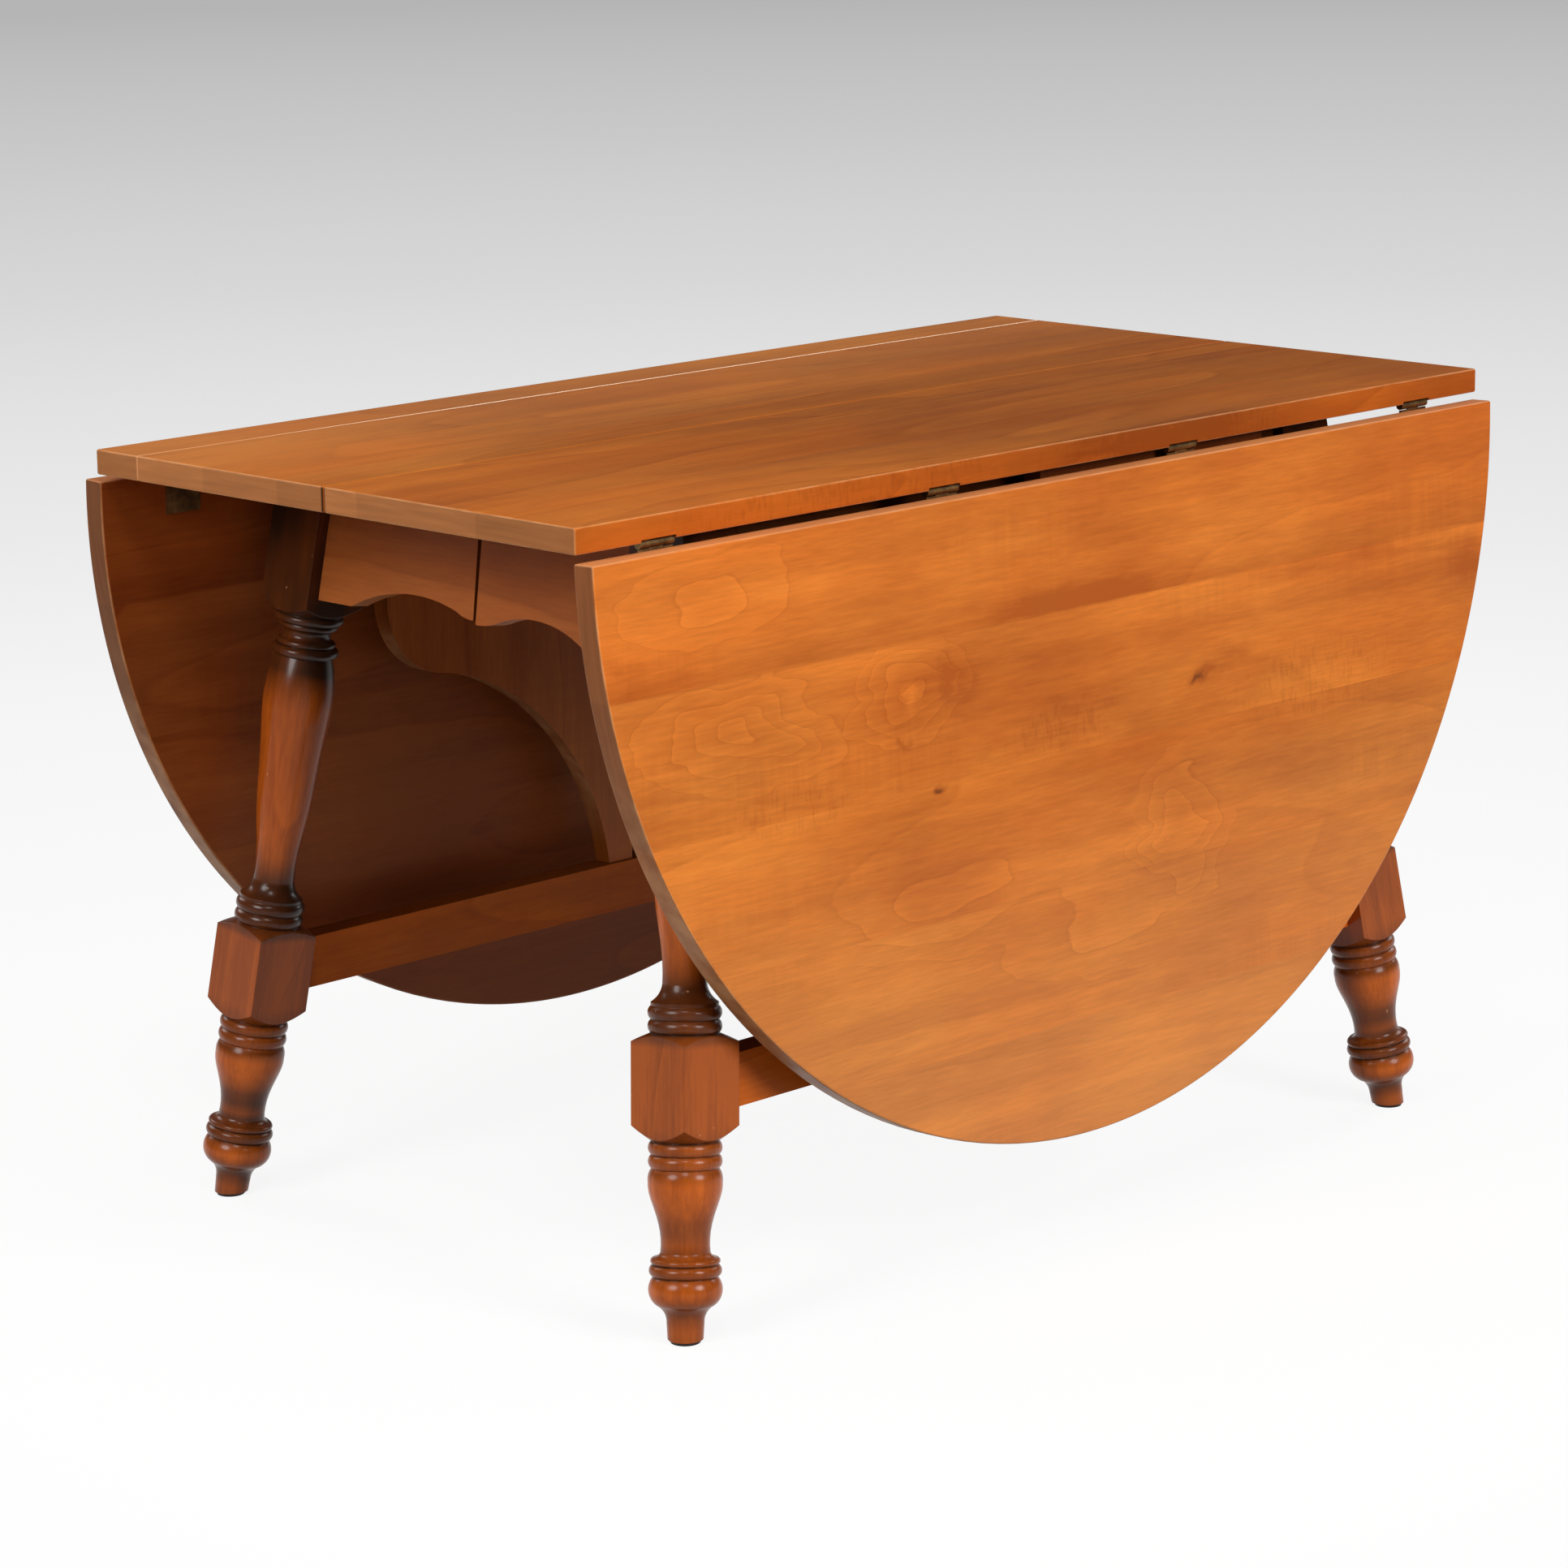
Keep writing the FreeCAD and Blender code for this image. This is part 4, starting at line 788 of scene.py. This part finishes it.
def lay_floor(context, studio):
    """A pale floor that fades with distance, keeps the table's shadow and can't be seen from below."""
    bpy.ops.object.select_all(action="DESELECT")
    bpy.ops.mesh.primitive_circle_add(vertices=FLOOR_CORNERS, radius=studio.floor_radius, fill_type="NGON")
    floor = context.active_object
    floor.name = "floor"
    fin = Finish("floor_paint")
    away = fin.add("ShaderNodeVectorMath", {0: fin.place}, operation="LENGTH").outputs["Value"]
    near, far = tuple(studio.floor_near), tuple(studio.floor_far)
    tones = [(FLOOR_NEAR_END, near), *FLOOR_TONES, (FLOOR_FAR_START, far)]
    shade = fin.profile(away, 0.0, FLOOR_REACH, tones)
    path = fin.add("ShaderNodeLightPath")
    seen = fin.math("MAXIMUM", path.outputs["Is Camera Ray"], path.outputs["Is Glossy Ray"])
    seen = fin.math("MAXIMUM", seen, path.outputs["Is Transmission Ray"])
    paint = fin.add("ShaderNodeBsdfDiffuse", {"Color": fin.mix(seen, FLOOR_BOUNCE, FLOOR_PAINT)})
    glow = fin.add("ShaderNodeEmission", {"Color": shade, "Strength": 1.0})
    steady = fin.math("MULTIPLY", seen, fin.level(away, SHADOW_START, SHADOW_END, SHADOW_STEADY, 1.0))
    painted = fin.add("ShaderNodeMixShader", {0: steady, 1: paint.outputs[0], 2: glow.outputs[0]})
    below = fin.add("ShaderNodeNewGeometry").outputs["Backfacing"]
    clear = fin.add("ShaderNodeBsdfTransparent")
    blend = fin.add("ShaderNodeMixShader", {0: below, 1: painted.outputs[0], 2: clear.outputs[0]})
    fin.feed(fin.output.inputs["Surface"], blend.outputs[0])
    fin.tree.nodes.remove(fin.shader)
    floor.data.materials.append(fin.material)


def hang_lamps(context, studio):
    """Round soft lamps, each turned to its target."""
    for name, place, target, size, setting in LAMPS:
        bpy.ops.object.light_add(type="AREA", location=place)
        light = context.active_object
        light.name = name
        light.data.shape = "DISK"
        light.data.size = size
        light.data.energy = getattr(studio, setting)
        light.rotation_euler = (Vector(place) - Vector(target)).to_track_quat("Z", "Y").to_euler()


def light_sky(context, studio):
    """Even light from above, with the floor's far tone at the horizon."""
    world = bpy.data.worlds.new("studio_sky")
    world.use_nodes = True
    nodes, links = world.node_tree.nodes, world.node_tree.links
    parts = nodes.new("ShaderNodeSeparateXYZ")
    links.new(nodes.new("ShaderNodeTexCoord").outputs["Generated"], parts.inputs[0])
    fall = nodes.new("ShaderNodeMapRange")
    links.new(parts.outputs["Z"], fall.inputs["Value"])
    ranges = {
        "From Min": 0.0, "From Max": SKY_RISE, "To Min": studio.floor_far[0], "To Max": studio.sky,
    }
    for key, value in ranges.items():
        fall.inputs[key].default_value = value
    links.new(fall.outputs[0], nodes["Background"].inputs["Strength"])
    nodes["Background"].inputs["Color"].default_value = (1.0, 1.0, 1.0, 1.0)
    context.scene.world = world


def place_camera(context, studio):
    """The camera that sees the table as the photograph does."""
    az, el, roll = studio.azimuth, studio.elevation, studio.roll
    back = Vector((math.sin(az) * math.cos(el), -math.cos(az) * math.cos(el), math.sin(el)))
    right = Vector((math.cos(az), math.sin(az), 0.0))
    up = back.cross(right)
    across = right * math.cos(roll) + up * math.sin(roll)
    rise = up * math.cos(roll) - right * math.sin(roll)
    bpy.ops.object.camera_add()
    camera = context.active_object
    camera.name = "photo_camera"
    turn = Matrix((across, rise, back)).transposed().to_4x4()
    camera.matrix_world = Matrix.Translation(Vector(studio.camera_place)) @ turn
    camera.data.sensor_width = SENSOR_WIDTH
    camera.data.lens = studio.lens
    camera.data.clip_end = VIEW_REACH
    context.scene.camera = camera


class TABLE_OT_stage(bpy.types.Operator):
    """Lay the floor and set the lamps and the camera"""

    bl_idname = "table.stage"
    bl_label = "Set Stage"

    def execute(self, context):
        studio = context.scene.table_studio
        lay_floor(context, studio)
        hang_lamps(context, studio)
        light_sky(context, studio)
        place_camera(context, studio)
        context.scene.view_settings.view_transform = "Standard"
        return {"FINISHED"}


class TABLE_PT_sidebar(bpy.types.Panel):
    """Colours, wear and the steps that finish the table"""

    bl_label = "Drop-Leaf Table"
    bl_idname = "TABLE_PT_sidebar"
    bl_space_type = "VIEW_3D"
    bl_region_type = "UI"
    bl_category = "Table"

    def draw(self, context):
        for name in GROUPS:
            box = self.layout.box()
            settings = getattr(context.scene, name)
            for key in settings.__annotations__:
                box.prop(settings, key)
        for step in STEPS:
            self.layout.operator(step.bl_idname)


GROUPS = {"table_stain": TableStain, "table_wear": TableWear, "table_studio": TableStudio}
STEPS = (
    TABLE_OT_finish_top,
    TABLE_OT_finish_leaves,
    TABLE_OT_finish_legs,
    TABLE_OT_finish_base,
    TABLE_OT_finish_metal,
    TABLE_OT_stage,
)


def register():
    for group in GROUPS.values():
        bpy.utils.register_class(group)
    for name, group in GROUPS.items():
        setattr(bpy.types.Scene, name, PointerProperty(type=group))
    for step in (*STEPS, TABLE_PT_sidebar):
        bpy.utils.register_class(step)


def unregister():
    for step in reversed((*STEPS, TABLE_PT_sidebar)):
        bpy.utils.unregister_class(step)
    for name, group in GROUPS.items():
        delattr(bpy.types.Scene, name)
        bpy.utils.unregister_class(group)


def main():
    register()
    bpy.ops.table.finish_top()
    bpy.ops.table.finish_leaves()
    bpy.ops.table.finish_legs()
    bpy.ops.table.finish_base()
    bpy.ops.table.finish_metal()
    bpy.ops.table.stage()


if __name__ == "__main__":
    main()
